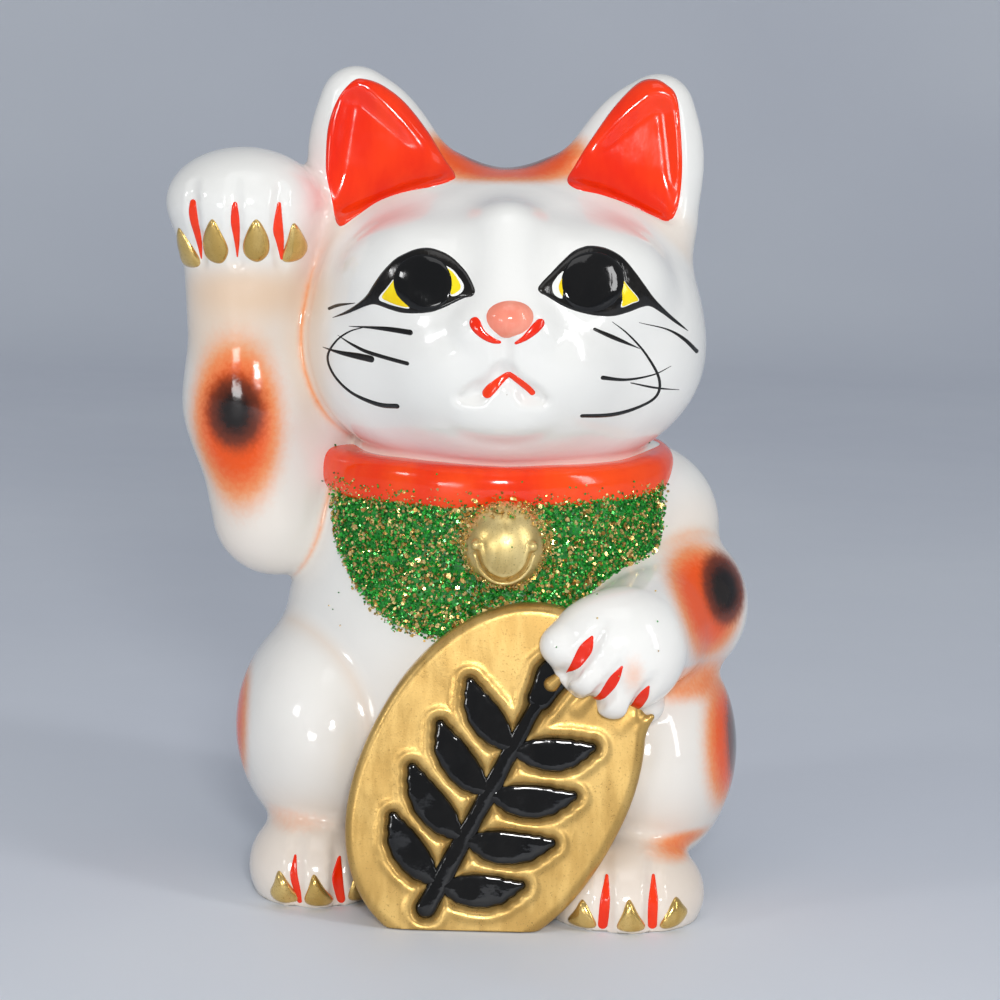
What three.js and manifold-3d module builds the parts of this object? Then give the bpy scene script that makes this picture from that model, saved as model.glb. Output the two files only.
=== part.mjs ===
// A glazed ceramic beckoning cat, 180 mm tall, holding an oval gold plaque.
// Millimetres, +Z up, the cat faces -Y. "Right" and "left" in names are the cat's own.
import {
  BoxGeometry, Box3, BufferAttribute, BufferGeometry, CylinderGeometry, Euler, ExtrudeGeometry, Group, Mesh,
  MeshStandardMaterial, Quaternion, Shape, SphereGeometry, TorusGeometry, Triangle, Vector3,
} from 'three';
import { mergeVertices } from 'three/addons/utils/BufferGeometryUtils.js';
import Module from 'manifold-3d';

const wasm = await Module();
wasm.setup();

// ---------- driving dimensions ----------
const GAP = 0.3;              // clearance between neighbouring pieces
const WALL = 4;               // thickness of the cast shell
const VENT_RADIUS = 8;        // drain hole under the torso
const NECK_OPENING = 15;      // radius of the opening between torso and head
const NECK_HEIGHT = 92;       // height of the collar's middle
const COLLAR = { halfWidth: 35, halfDepth: 32.4, radius: 4 };
const BIB = { thickness: 1.7, halfWidth: 38, top: 88, drop: 28 };
const BELL = { centre: [1.2, -38.5, 81.5], radius: 8.7, slit: 1.2 };
const EYE = { x: 18.4, y: -36.6, z: 137.2, radii: [11.5, 5, 6.8] };
const NOSE = { centre: [0.9, -46.6, 130.4], radii: [4.6, 4.2, 3.8] };
const PLAQUE = {
  centre: [0.6, -49, 32], halfLength: 39.4, halfWidth: 27.7, thickness: 9, rounding: 1.8,
  tilt: 27 * Math.PI / 180, lean: 8 * Math.PI / 180, floorClearance: 0.6,
};
const CHANNEL = { depth: 2.2, enamel: 1.1, stemWidth: 3.4, leafWidth: 5.6, leafPairs: 4, leafPitch: 11 };

const vector = (numbers) => new Vector3(...numbers);

// ---------- distance fields, negative inside ----------
function ellipsoid(centre, radii, turn = [0, 0, 0]) {
  const middle = vector(centre);
  const size = vector(radii);
  const unturn = new Quaternion().setFromEuler(new Euler(...turn)).invert();
  return (point) => {
    const scaled = point.clone().sub(middle).applyQuaternion(unturn).divide(size);
    const reach = scaled.length();
    return reach * (reach - 1) / Math.max(scaled.divide(size).length(), 1e-9);
  };
}

function limb(start, startRadius, end, endRadius) {
  const from = vector(start);
  const along = vector(end).sub(from);
  return (point) => {
    const offset = point.clone().sub(from);
    const share = Math.min(1, Math.max(0, offset.dot(along) / along.lengthSq()));
    const radius = startRadius + share * (endRadius - startRadius);
    return offset.addScaledVector(along, -share).length() - radius;
  };
}

// A triangle whose corners are balls of their own radii, with skin stretched over them.
function webbed(corners, radii) {
  const triangle = new Triangle(...corners.map(vector));
  const size = vector(radii);
  return (point) => {
    const nearest = triangle.closestPointToPoint(point, new Vector3());
    const share = triangle.getBarycoord(nearest, new Vector3());
    return point.distanceTo(nearest) - share.dot(size);
  };
}

function blend(softness, ...fields) {
  return (point) => fields.map((field) => field(point)).reduce((a, b) => {
    const near = Math.max(softness - Math.abs(a - b), 0) / softness;
    return Math.min(a, b) - near * near * softness / 4;
  });
}

const grown = (field, distance) => (point) => field(point) - distance;

// ---------- the cat's members ----------
const degrees = Math.PI / 180;
const ear = (side, shift) => {
  const at = (x, y, z) => [side * x + shift, y, z];
  return blend(7,
    webbed([at(34.2, 0, 172.8), at(34.2, -1, 148), at(18.5, 0, 151.5)], [6, 8.2, 11]),
    ellipsoid(at(30.5, 0, 160), [12.5, 6, 16], [0, side * 5 * degrees, 0]));
};
const cheek = (side) => ellipsoid([side * 8, -38.8, 121], [9, 6.2, 8]);
const browMound = (side) => ellipsoid([side * 19.5, -28.3, 136.2], [14.5, 10, 11.5], [0, 0, side * 26 * degrees]);
const fields = {
  torso: blend(8,
    blend(14,
      ellipsoid([0, -1, 86], [36.5, 33.5, 20]),
      blend(20, ellipsoid([0, 2, 62], [45, 36, 34]), ellipsoid([0, 2, 34], [45, 43, 41]))),
    ellipsoid([33.5, 3, 79], [15.5, 15.5, 17])),
  head: blend(7,
    blend(12,
      blend(14, ellipsoid([0, -6, 118.5], [44, 35, 28.5]), ellipsoid([0, -4, 134], [38.5, 33, 24])),
      blend(9, ellipsoid([0, -33, 118], [20, 11.5, 14]), cheek(-1), cheek(1)),
      limb([0, -33.5, 147], 5, [0, -41.5, 131], 5)),
    browMound(-1), browMound(1), ellipsoid([0, -41.2, 110.6], [9.2, 4.8, 5])),
  right_ear: ear(-1, 0),
  left_ear: ear(1, -1.3),
  raised_arm: blend(8,
    ellipsoid([-57.3, -7, 149.6], [17, 15, 12]),
    limb([-56.4, -4, 136], 14.1, [-54.2, -3, 105], 14.4),
    limb([-54.2, -3, 105], 14.4, [-49.5, -1, 80.5], 14.3),
    ellipsoid([-42, 0, 93], [9, 10, 14])),
  lowered_arm: blend(5,
    blend(9, ellipsoid([38.5, -6, 63.5], [15.5, 17, 15.5]), limb([38, -10, 62.5], 14.5, [28.5, -41, 61], 12.5)),
    ellipsoid([24, -45, 59.3], [13.5, 9.8, 11.5], [0, 30 * degrees, 0])),
  right_leg: blend(4,
    ellipsoid([-36, -6, 34], [21.5, 31, 26]),
    ellipsoid([-38.5, -23, 6], [14.5, 17.5, 12.8])),
  left_leg: blend(4,
    ellipsoid([33, -8, 31], [21, 33, 27]),
    ellipsoid([29, -35, 5], [17.5, 18.5, 12.8])),
  tail: blend(6, limb([9, 39, 9], 8, [-4, 43, 13], 7.5), limb([-4, 43, 13], 7.5, [-15, 42, 27], 5)),
};
const hearts = {
  torso: [0, 2, 50], head: [0, -6, 124], right_ear: [-28.5, -1, 158], left_ear: [27.2, -1, 158],
  raised_arm: [-56, -4, 118], lowered_arm: [32, -24, 62], right_leg: [-37, -13, 17],
  left_leg: [31, -22, 17], tail: [-6, 43, 16],
};
const detail = {
  torso: [32, 22], head: [34, 24], right_ear: [20, 16], left_ear: [20, 16], raised_arm: [20, 26],
  lowered_arm: [24, 18], right_leg: [22, 16], left_leg: [22, 16], tail: [24, 20],
};
const HOLLOW_DETAIL = [14, 10];

// ---------- solids ----------
function welded(geometry) {
  geometry.deleteAttribute('normal');
  geometry.deleteAttribute('uv');
  return mergeVertices(geometry, 1e-4);
}

function solid(geometry) {
  const closed = welded(geometry);
  const vertProperties = new Float32Array(closed.getAttribute('position').array);
  const triVerts = new Uint32Array(closed.index.array);
  return new wasm.Manifold(new wasm.Mesh({ numProp: 3, vertProperties, triVerts }));
}

// The distance from heart to the skin of the field along one direction.
function reach(field, heart, direction) {
  let inside = 0;
  let outside = 200;
  while (outside - inside > 1e-4) {
    const middle = (inside + outside) / 2;
    if (field(heart.clone().addScaledVector(direction, middle)) < 0) inside = middle;
    else outside = middle;
  }
  return inside;
}

// A ball whose every vertex is moved along its ray onto the skin of the field.
function skin(field, heart, [columns, rows]) {
  const ball = welded(new SphereGeometry(1, columns, rows).rotateX(Math.PI / 2));
  const points = ball.getAttribute('position');
  for (let i = 0; i < points.count; i += 1) {
    const direction = new Vector3().fromBufferAttribute(points, i).normalize();
    const tip = vector(heart).addScaledVector(direction, reach(field, vector(heart), direction));
    points.setXYZ(i, tip.x, tip.y, tip.z);
  }
  return solid(ball);
}

const member = (name, extra = 0) => skin(grown(fields[name], extra), hearts[name], detail[name]);
const ballSolid = ({ centre, radii, facets = [12, 8] }, extra = 0) => solid(
  new SphereGeometry(1, ...facets).scale(...radii.map((r) => r + extra)).translate(...centre));
const without = (body, ...others) => others.reduce((rest, other) => rest.subtract(other), body);
const upright = (radius, from, to) => solid(
  new CylinderGeometry(radius, radius, to - from, 32).rotateX(Math.PI / 2).translate(0, 0, (from + to) / 2));
const floorBlock = (top = 0) => solid(new BoxGeometry(300, 300, 100).translate(0, 0, top - 50));

// ---------- collar, bell, bib ----------
function collarSolid(extra = 0) {
  const { halfWidth, halfDepth, radius } = COLLAR;
  return solid(new TorusGeometry(halfWidth, radius + extra, 8, 36)
    .scale(1, halfDepth / halfWidth, 1).translate(0, 0, NECK_HEIGHT));
}

function bellSolid() {
  const [x, y, z] = BELL.centre;
  const slit = solid(new BoxGeometry(1.3 * BELL.radius, BELL.radius, BELL.slit)
    .translate(x, y - BELL.radius, z - 0.55 * BELL.radius));
  const bores = [-1, 1].map((side) => solid(new CylinderGeometry(BELL.slit, BELL.slit, BELL.radius, 10)
    .translate(x + side * 0.6 * BELL.radius, y - BELL.radius, z)));
  return without(bellBall(), slit, ...bores);
}
const bellBall = (extra = 0) => ballSolid({ centre: BELL.centre, radii: Array(3).fill(BELL.radius) }, extra);

function bibSolid() {
  const outline = new Shape().absellipse(0, BIB.top, BIB.halfWidth, BIB.drop, Math.PI, 2 * Math.PI);
  const prism = solid(new ExtrudeGeometry(outline, { depth: 60, bevelEnabled: false, curveSegments: 12 })
    .rotateX(Math.PI / 2));
  return member('torso', BIB.thickness + GAP).intersect(prism);
}

// ---------- plaque ----------
// Everything on the plaque is drawn flat, x across and y along it, with its face at z = 0.
function ontoPlaque(geometry) {
  return geometry.rotateX(Math.PI / 2).rotateY(PLAQUE.tilt).rotateX(-PLAQUE.lean).translate(...PLAQUE.centre);
}

function plaqueSolid(extra = 0) {
  const { halfLength, halfWidth, thickness, rounding } = PLAQUE;
  const inset = rounding - extra;
  const outline = new Shape().absellipse(0, 0, halfWidth - inset, halfLength - inset, 0, 2 * Math.PI);
  const slab = new ExtrudeGeometry(outline, {
    depth: thickness - 2 * inset, curveSegments: 22,
    bevelEnabled: true, bevelSize: rounding, bevelThickness: rounding, bevelSegments: 2,
  });
  return solid(ontoPlaque(slab.translate(0, 0, rounding - thickness - extra)));
}

// A bar with round ends, narrowing towards its tip and bowed to one side.
function leafShape([rootX, rootY], [tipX, tipY], width, bow, extra) {
  const root = new Vector3(rootX, rootY, 0);
  const tip = new Vector3(tipX, tipY, 0);
  const along = tip.clone().sub(root).normalize();
  const side = new Vector3(-along.y, along.x, 0);
  const start = root.clone().addScaledVector(along, -extra);
  const end = tip.clone().addScaledVector(along, extra);
  const half = width / 2 + extra;
  const middle = start.clone().lerp(end, 0.55).addScaledVector(side, bow);
  const left = middle.clone().addScaledVector(side, half * 1.3);
  const right = middle.clone().addScaledVector(side, -half * 1.3);
  const shape = new Shape();
  shape.moveTo(start.x + side.x * half * 0.6, start.y + side.y * half * 0.6);
  shape.quadraticCurveTo(left.x, left.y, end.x + side.x * extra, end.y + side.y * extra);
  shape.lineTo(end.x - side.x * extra, end.y - side.y * extra);
  shape.quadraticCurveTo(right.x, right.y, start.x - side.x * half * 0.6, start.y - side.y * half * 0.6);
  return shape;
}

// A spray of leaves: a stem, pairs of bowed leaves and a bud at the top.
function ornament(extra = 0) {
  const { stemWidth, leafWidth, leafPairs, leafPitch } = CHANNEL;
  const tip = extra + 0.2;
  const shapes = { stem: leafShape([0, -29], [0, 17], stemWidth, 0, tip), bud: leafShape([0, 20], [0, 31], 6, 0, tip) };
  for (let pair = 0; pair < leafPairs; pair += 1) {
    const height = -25 + pair * leafPitch;
    const span = 18.5 - 1.3 * Math.abs(pair - 1.2);
    for (const [hand, side] of [['right', -1], ['left', 1]]) {
      const name = `leaf_${hand}_${pair + 1}`;
      shapes[name] = leafShape([side * 3.6, height], [side * span, height + 9], leafWidth, -side * 1.6, tip);
    }
  }
  return shapes;
}

const cutFrom = (shape, top, depth) => solid(ontoPlaque(
  new ExtrudeGeometry(shape, { depth, bevelEnabled: false, curveSegments: 6 }).translate(0, 0, top - depth)));

function channelledPlaque() {
  const channels = Object.values(ornament(GAP)).map((shape) => cutFrom(shape, 1, CHANNEL.depth + 1));
  return without(plaqueSolid(), floorBlock(PLAQUE.floorClearance), around.lowered_arm, ...channels);
}

// ---------- ears, claws ----------
const LININGS = {
  right_ear: webbed([[-33.5, -7.2, 172.6], [-36, -8.8, 150.4], [-16, -9.6, 155.6]], [2, 2, 2]),
  left_ear: webbed([[32, -7.2, 173.2], [34.6, -8.8, 151], [15.2, -9.6, 156]], [2, 2, 2]),
};
const liningSolid = (ear, extra = 0) => skin(grown(LININGS[ear], extra), LINING_HEARTS[ear], [10, 8]);
const LINING_HEARTS = { right_ear: [-28.3, -8.5, 159.5], left_ear: [27, -8.5, 160.8] };

function claws() {
  const list = [];
  [-68, -61.6, -53.6, -45.6].forEach((x, i) => {
    list.push({ name: `raised_paw_claw_${i + 1}`, on: 'raised_arm', x, z: 141.8, radii: [2.5, 2.4, 4] });
  });
  [-46, -38, -30].forEach((x, i) => {
    list.push({ name: `right_foot_claw_${i + 1}`, on: 'right_leg', x, z: 4.4, radii: [2.8, 2.6, 3.6] });
  });
  [20, 29.5, 39].forEach((x, i) => {
    list.push({ name: `left_foot_claw_${i + 1}`, on: 'left_leg', x, z: 4.4, radii: [2.8, 2.6, 3.6] });
  });
  return list.map((claw) => ({ ...claw, facets: [8, 6], centre: frontOf(claw.on, claw.x, claw.z) }));
}

// The point where a line along +Y first meets the member, at this x and z.
function frontOf(name, x, z) {
  const start = new Vector3(x, -100, z);
  while (fields[name](start) > 0.01) start.y += 0.05;
  return start.toArray();
}

// ---------- assembly ----------
const glaze = { color: 0xf2f1ec, roughness: 0.12, metalness: 0 };
const looks = {
  glaze,
  redGlaze: { color: 0xf1461d, roughness: 0.15, metalness: 0 },
  pink: { color: 0xf6967c, roughness: 0.3, metalness: 0 },
  gold: { color: 0xd5b26a, roughness: 0.35, metalness: 0.8 },
  enamel: { color: 0x0e0e0d, roughness: 0.08, metalness: 0 },
  glitter: { color: 0x338e38, roughness: 0.6, metalness: 0.3 },
};
const cat = new Group();

// Only position is kept, and the largest body where a cut leaves loose crumbs.
function add(name, body, look) {
  const largest = body.decompose().sort((a, b) => b.volume() - a.volume())[0];
  const { vertProperties, triVerts } = largest.getMesh();
  const geometry = new BufferGeometry();
  geometry.setAttribute('position', new BufferAttribute(vertProperties, 3));
  geometry.setIndex(new BufferAttribute(triVerts, 1));
  geometry.computeVertexNormals();
  const mesh = new Mesh(geometry, new MeshStandardMaterial(looks[look]));
  mesh.name = name;
  cat.add(mesh);
}

const around = Object.fromEntries(Object.keys(fields).map((name) => [name, member(name, GAP)]));
const collarRoom = collarSolid(GAP);
const bellRoom = bellBall(GAP);
const plaqueRoom = plaqueSolid(GAP);
const floor = floorBlock();
const clawList = claws();
const clawRoom = (name) => clawList.filter((claw) => claw.on === name).map((claw) => ballSolid(claw, GAP));
const eyes = [['right_eye', -1], ['left_eye', 1]].map(([name, side]) => (
  { name, centre: [side * EYE.x, EYE.y, EYE.z], radii: EYE.radii }));

function addShells() {
  const bore = upright(NECK_OPENING, NECK_HEIGHT - 20, NECK_HEIGHT + 20);
  const torsoHollow = skin(grown(fields.torso, -WALL), hearts.torso, HOLLOW_DETAIL).subtract(floorBlock(WALL));
  const vent = upright(VENT_RADIUS, -10, 20);
  add('torso', without(member('torso'), floor, torsoHollow, vent, bore, around.head, collarRoom, plaqueRoom,
    bellRoom), 'glaze');
  const headHollow = skin(grown(fields.head, -WALL), hearts.head, HOLLOW_DETAIL);
  add('head', without(member('head'), headHollow, bore, collarRoom, around.right_ear, around.left_ear,
    liningSolid('right_ear', GAP), liningSolid('left_ear', GAP), ballSolid(NOSE, GAP),
    ...eyes.map((eye) => ballSolid(eye, GAP))), 'glaze');
}

function addMembers() {
  for (const ear of ['right_ear', 'left_ear']) {
    const hollow = skin(grown(fields.head, -WALL), hearts.head, HOLLOW_DETAIL);
    add(ear, without(member(ear), liningSolid(ear, GAP), hollow), 'glaze');
    add(`${ear}_lining`, liningSolid(ear), 'redGlaze');
  }
  add('raised_arm', without(member('raised_arm'), around.torso, around.head, around.right_ear, collarRoom,
    ...clawRoom('raised_arm')), 'glaze');
  add('lowered_arm', without(member('lowered_arm'), around.torso, around.head, collarRoom), 'glaze');
  add('right_leg', without(member('right_leg'), floor, around.torso, around.raised_arm, plaqueRoom,
    ...clawRoom('right_leg')), 'glaze');
  add('left_leg', without(member('left_leg'), floor, around.torso, around.lowered_arm, plaqueRoom,
    ...clawRoom('left_leg')), 'glaze');
  add('tail', without(member('tail'), floor, around.torso), 'glaze');
}

function addFace() {
  eyes.forEach((eye) => add(eye.name, ballSolid(eye), 'enamel'));
  add('nose', ballSolid(NOSE), 'pink');
}

function addTrim() {
  add('collar', without(collarSolid(), around.raised_arm, around.lowered_arm, bellRoom), 'redGlaze');
  add('bell', bellSolid(), 'gold');
  add('bib', without(bibSolid(), around.torso, around.head, collarRoom, bellRoom, plaqueRoom, around.raised_arm,
    around.lowered_arm), 'glitter');
  clawList.forEach((claw) => add(claw.name, without(ballSolid(claw), floorBlock(0.5), plaqueRoom), 'gold'));
}

function addPlaque() {
  add('plaque', channelledPlaque(), 'gold');
  for (const [name, shape] of Object.entries(ornament())) {
    const fill = cutFrom(shape, GAP + CHANNEL.enamel - CHANNEL.depth, CHANNEL.enamel);
    add(`enamel_${name}`, without(fill, around.lowered_arm), 'enamel');
  }
}

addShells();
addMembers();
addFace();
addTrim();
addPlaque();

// The reference point is the middle of the footprint, on the surface that the cat stands on.
const extent = new Box3().setFromObject(cat);
const middle = extent.getCenter(new Vector3());
cat.position.set(-middle.x, -middle.y, -extent.min.z);

export default cat;
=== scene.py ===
"""The looks of a glazed ceramic beckoning cat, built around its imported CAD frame.

Shapes are worked out in millimetres, with the cat facing -Y and standing at z = 0.
"right" and "left" in names are the cat's own. `placed` puts a shape in the row frame, in metres.
"""
from math import cos, pi, radians, sin

import bpy
import numpy as np
from mathutils import Matrix, Vector


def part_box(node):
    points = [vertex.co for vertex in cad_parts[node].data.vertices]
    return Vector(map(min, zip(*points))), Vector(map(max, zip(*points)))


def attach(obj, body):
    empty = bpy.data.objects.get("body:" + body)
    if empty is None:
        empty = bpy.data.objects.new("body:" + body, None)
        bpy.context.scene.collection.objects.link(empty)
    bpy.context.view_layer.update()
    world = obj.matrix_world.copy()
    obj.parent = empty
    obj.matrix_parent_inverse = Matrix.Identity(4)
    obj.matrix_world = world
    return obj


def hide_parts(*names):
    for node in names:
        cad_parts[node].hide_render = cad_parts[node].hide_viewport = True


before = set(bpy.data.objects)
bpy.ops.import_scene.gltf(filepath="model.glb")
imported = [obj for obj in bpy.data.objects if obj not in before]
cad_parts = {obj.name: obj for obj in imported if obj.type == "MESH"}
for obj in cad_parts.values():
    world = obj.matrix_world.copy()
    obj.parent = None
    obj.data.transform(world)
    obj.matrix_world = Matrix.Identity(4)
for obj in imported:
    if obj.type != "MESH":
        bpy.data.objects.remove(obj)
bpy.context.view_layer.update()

# ---------- where the design's millimetres are in the row frame ----------
NOSE_CENTRE = np.array((0.9, -46.6, 130.4))
low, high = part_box("nose")
ORIGIN = np.array((low + high) / 2) * 1000 - NOSE_CENTRE
ORIGIN[2] = 0


def placed(points):
    return (np.asarray(points, float) + ORIGIN) / 1000


# ---------- sizes ----------
FINE = 0.9        # grid step of the cat's skin
RELIEF = 0.42     # grid step of the plaque; the bell and collar follow it
FLAKES = 12000   # glitter on the bib
WALL = 1.6                               # thickness of each member's skin
SINK = 0.35                              # how far a film of paint reaches into what it lies on
BRUSH = 1.15                             # the whiskers' widths are painted this much wider
FILM = dict(whisker=0.14, lid=0.16, nostril=0.25, white=0.27, lining=0.3, stroke=0.3, yellow=0.33,
            claw=0.35, pupil=0.38, bib=1.0)    # how far each film stands above what it lies on
PLAQUE = dict(centre=(0.6, -49, 32), half_length=39.4, half_width=28.4, thickness=9, tilt=27, lean=8,
              power=2.15, rounding=2.2)
CHANNEL = dict(depth=2.0, stem=2.5, leaf=3.7, pairs=4, pitch=11)
COLLAR = dict(half_width=35.7, half_depth=32.4, middle=(-1.2, -0.6, 92.1), half_height=5,
              half_thickness=3.6, inward=9, squareness=2.6)
BELL = dict(centre=(1.2, -39.5, 81.5), radius=9.1)
VENT = dict(centre=(0, 4), radius=8, depth=16)
FAR_FRONT = -75    # y of a plane in front of everything


# ---------- distance fields, negative inside ----------
def turned(offset, turn):
    """Points turned backwards by degrees about z, y and x."""
    offset = offset.copy()
    for axis in (2, 1, 0):
        if turn[axis]:
            c, s = cos(radians(-turn[axis])), sin(radians(-turn[axis]))
            i, j = ((1, 2), (2, 0), (0, 1))[axis]
            a, b = offset[:, i].copy(), offset[:, j].copy()
            offset[:, i], offset[:, j] = c * a - s * b, s * a + c * b
    return offset


def length(rows):
    return np.sqrt((rows * rows).sum(1))


def ellipsoid(centre, radii, turn=(0, 0, 0)):
    centre, radii = np.array(centre, float), np.array(radii, float)

    def field(p):
        q = turned(p - centre, turn) / radii
        reach = length(q)
        return reach * (reach - 1) / np.maximum(length(q / radii), 1e-9)
    return field


def limb(start, start_radius, end, end_radius):
    start, along = np.array(start, float), np.array(end, float) - np.array(start, float)

    def field(p):
        q = p - start
        share = np.clip(q @ along / (along @ along), 0, 1)
        return length(q - share[:, None] * along) - (start_radius + share * (end_radius - start_radius))
    return field


def webbed(corners, radii):
    """A triangle whose corners are balls of their own radii, with skin stretched over them."""
    a, b, c = (np.array(corner, float) for corner in corners)
    ab, ac = b - a, c - a
    inverse = np.linalg.inv(np.array([[ab @ ab, ab @ ac], [ab @ ac, ac @ ac]]))
    edges = [limb(a, radii[0], b, radii[1]), limb(a, radii[0], c, radii[2]), limb(b, radii[1], c, radii[2])]

    def field(p):
        q = p - a
        u, v = (np.stack([q @ ab, q @ ac], 1) @ inverse).T
        nearest = np.min([edge(p) for edge in edges], axis=0)
        inside = (u >= 0) & (v >= 0) & (u + v <= 1)
        flat = length(q - u[:, None] * ab - v[:, None] * ac)
        flat -= radii[0] * (1 - u - v) + radii[1] * u + radii[2] * v
        return np.where(inside, np.minimum(flat, nearest), nearest)
    return field


def smooth_min(a, b, k):
    near = np.maximum(k - np.abs(a - b), 0) / k
    return np.minimum(a, b) - near * near * k / 4


def blend(k, *parts):
    def field(p):
        total = parts[0](p)
        for part in parts[1:]:
            total = smooth_min(total, part(p), k)
        return total
    return field


def carve(body, k, *cutters):
    """The cutters are taken away with a soft edge."""
    def field(p):
        total = -body(p)
        for cutter in cutters:
            total = smooth_min(total, cutter(p), k)
        return -total
    return field


def bounded(body, low, high, reach=12):
    """The same field, worked out only near its box, to save time."""
    low, high = np.array(low, float) - reach, np.array(high, float) + reach

    def field(p):
        gap = np.maximum(np.maximum(low - p, p - high), 0)
        value = reach + length(gap)
        near = ~gap.any(1)
        if near.any():
            value[near] = body(p[near])
        return value
    return field


def sampled(field, points):
    """The field's values, a chunk of points at a time to save memory."""
    chunk = 30000
    return np.concatenate([field(points[i:i + chunk]) for i in range(0, len(points), chunk)])


def slope(field, points):
    """The field's gradient, from four samples around each point."""
    reach = 0.06
    total = np.zeros_like(points)
    for corner in ((1, -1, -1), (-1, -1, 1), (-1, 1, -1), (1, 1, 1)):
        step = np.array(corner, float)
        total += sampled(field, points + step * reach)[:, None] * step
    return total / (4 * reach)


def unit(rows):
    return rows / np.maximum(length(rows), 1e-12)[:, None]


def onto(field, points, rounds=1):
    """Points moved along the slope until they lie on the field's surface."""
    for _ in range(rounds):
        rise = slope(field, points)
        step = sampled(field, points) / np.maximum((rise * rise).sum(1), 0.15)
        points = points - np.clip(step, -1, 1)[:, None] * rise
    return points


def front(plan, field):
    """The foremost points of a surface at these x and z, or the nearest ones where there are none."""
    points = np.stack([plan[:, 0], np.full(len(plan), float(FAR_FRONT)), plan[:, 1]], 1)
    closest, best = points.copy(), np.full(len(plan), 1e9)
    for _ in range(45):
        away = sampled(field, points)
        better = np.abs(away) < best
        closest[better], best[better] = points[better], np.abs(away[better])
        points[:, 1] += np.clip(away, -1, 8) * 0.8
    missed = best > 0.05
    if missed.any():
        closest[missed] = onto(field, closest[missed], 4)
    return closest


def curve(points, count, closed=False, eased=False):
    """A smooth curve through given points, as this many points, closer at its ends if eased."""
    points = np.array(points, float)
    if closed:
        ends = points[[-1]], points[[0, 1]]
    else:
        ends = points[[0]] * 2 - points[[1]], points[[-1]] * 2 - points[[-2]]
    points = np.concatenate([ends[0], points, ends[1]])
    places = np.linspace(0, 1, count, endpoint=not closed)
    if eased:
        places = (1 - np.cos(pi * places)) / 2
    places *= len(points) - 3
    index = np.minimum(places.astype(int), len(points) - 4)
    t = (places - index)[:, None]
    a, b, c, d = (points[index + i] for i in range(4))
    square, cube = 2 * a - 5 * b + 4 * c - d, 3 * b - a - 3 * c + d
    return 0.5 * (2 * b + (c - a) * t + square * t ** 2 + cube * t ** 3)


def dented(body, lines, radius, depth):
    """The body with a soft groove under each line on its front, deeper towards the line's end."""
    cuts = []
    for line in lines:
        path = curve(line, 6)
        points = front(path, body)
        points += unit(slope(body, points)) * (radius - np.linspace(0.05, depth, len(points)))[:, None]
        cuts += [limb(a, radius, b, radius) for a, b in zip(points, points[1:])]
    corners = np.array([front(np.array(line, float), body) for line in lines]).reshape(-1, 3)
    cuts = [bounded(cut, corners.min(0) - 2, corners.max(0) + 2, 5) for cut in cuts]
    return carve(body, 1.6, *cuts)


# ---------- the cat's members ----------
def head_field():
    skull = blend(14, ellipsoid((0, -6, 118.5), (44, 35, 28.5)), ellipsoid((0, -4, 134), (38.5, 33, 24)))
    cheeks = [ellipsoid((side * 8, -38.8, 121), (9, 6.2, 8)) for side in (-1, 1)]
    muzzle = blend(9, ellipsoid((0, -33, 118), (20, 11.5, 14)), *cheeks)
    face = blend(12, skull, muzzle, limb((0, -33.5, 147), 5, (0, -41.5, 131), 5))
    for side in (-1, 1):
        face = blend(7, face, ellipsoid((side * 19.5, -28.3, 136.2), (14.5, 10, 11.5), (0, 0, side * 26)))
    wings = [ellipsoid((side * 6, -45, 128), (2.8, 2.2, 2.6), (0, side * 30, 0)) for side in (-1, 1)]
    face = blend(4, face, *wings)
    face = blend(4, face, ellipsoid((0, -41.2, 110.6), (9.2, 4.8, 5)))
    # the groove under the nose, and the line of the mouth to each side
    cuts = [limb((0, -49.5, 126), 0.7, (0, -49.1, 119.3), 0.7)]
    for side in (-1, 1):
        cuts.append(limb((0, -48.4, 119.2), 0.7, (side * 5.4, -46.9, 114.8), 0.9))
        cuts.append(limb((side * 5.4, -46.9, 114.8), 0.6, (side * 8.4, -45.4, 113.6), 0.1))
    cuts = [bounded(cut, (-9, -50, 112), (9, -44, 127), 6) for cut in cuts]
    return carve(face, 3, *cuts)


def ear_field(side):
    shift = 0 if side < 0 else -1.3

    def at(x, y, z):
        return side * x + shift, y, z
    body = blend(7,
                 webbed((at(34.2, 0, 172.8), at(34.2, -1, 148), at(18.5, 0, 151.5)), (6, 8.2, 11)),
                 ellipsoid(at(30.5, 0, 160), (12.5, 6, 16), (0, side * 5, 0)))
    bowl = webbed((at(33.2, -9.2, 171), at(36, -11.2, 150.5), at(15, -12.4, 156.5)), (4.8, 4.8, 4.8))
    return carve(body, 2, bowl)


def raised_arm_field():
    arm = blend(8,
                ellipsoid((-57.3, -7, 149.6), (17, 15, 12)),
                limb((-56.4, -4, 136), 14.1, (-54.2, -3, 105), 14.4),
                limb((-54.2, -3, 105), 14.4, (-49.5, -1, 80.5), 14.3),
                ellipsoid((-42, 0, 93), (9, 10, 14)))
    between = [[(-67.6, 154), (-67.6, 149), (-66.6, 142), (-66, 137.6)],
               [(-58.6, 155), (-58.4, 149), (-58, 143), (-57.8, 138)],
               [(-48.8, 154), (-49.1, 148), (-48.8, 142), (-48.4, 137.6)]]
    return dented(arm, between, 1.5, 0.75)


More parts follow.
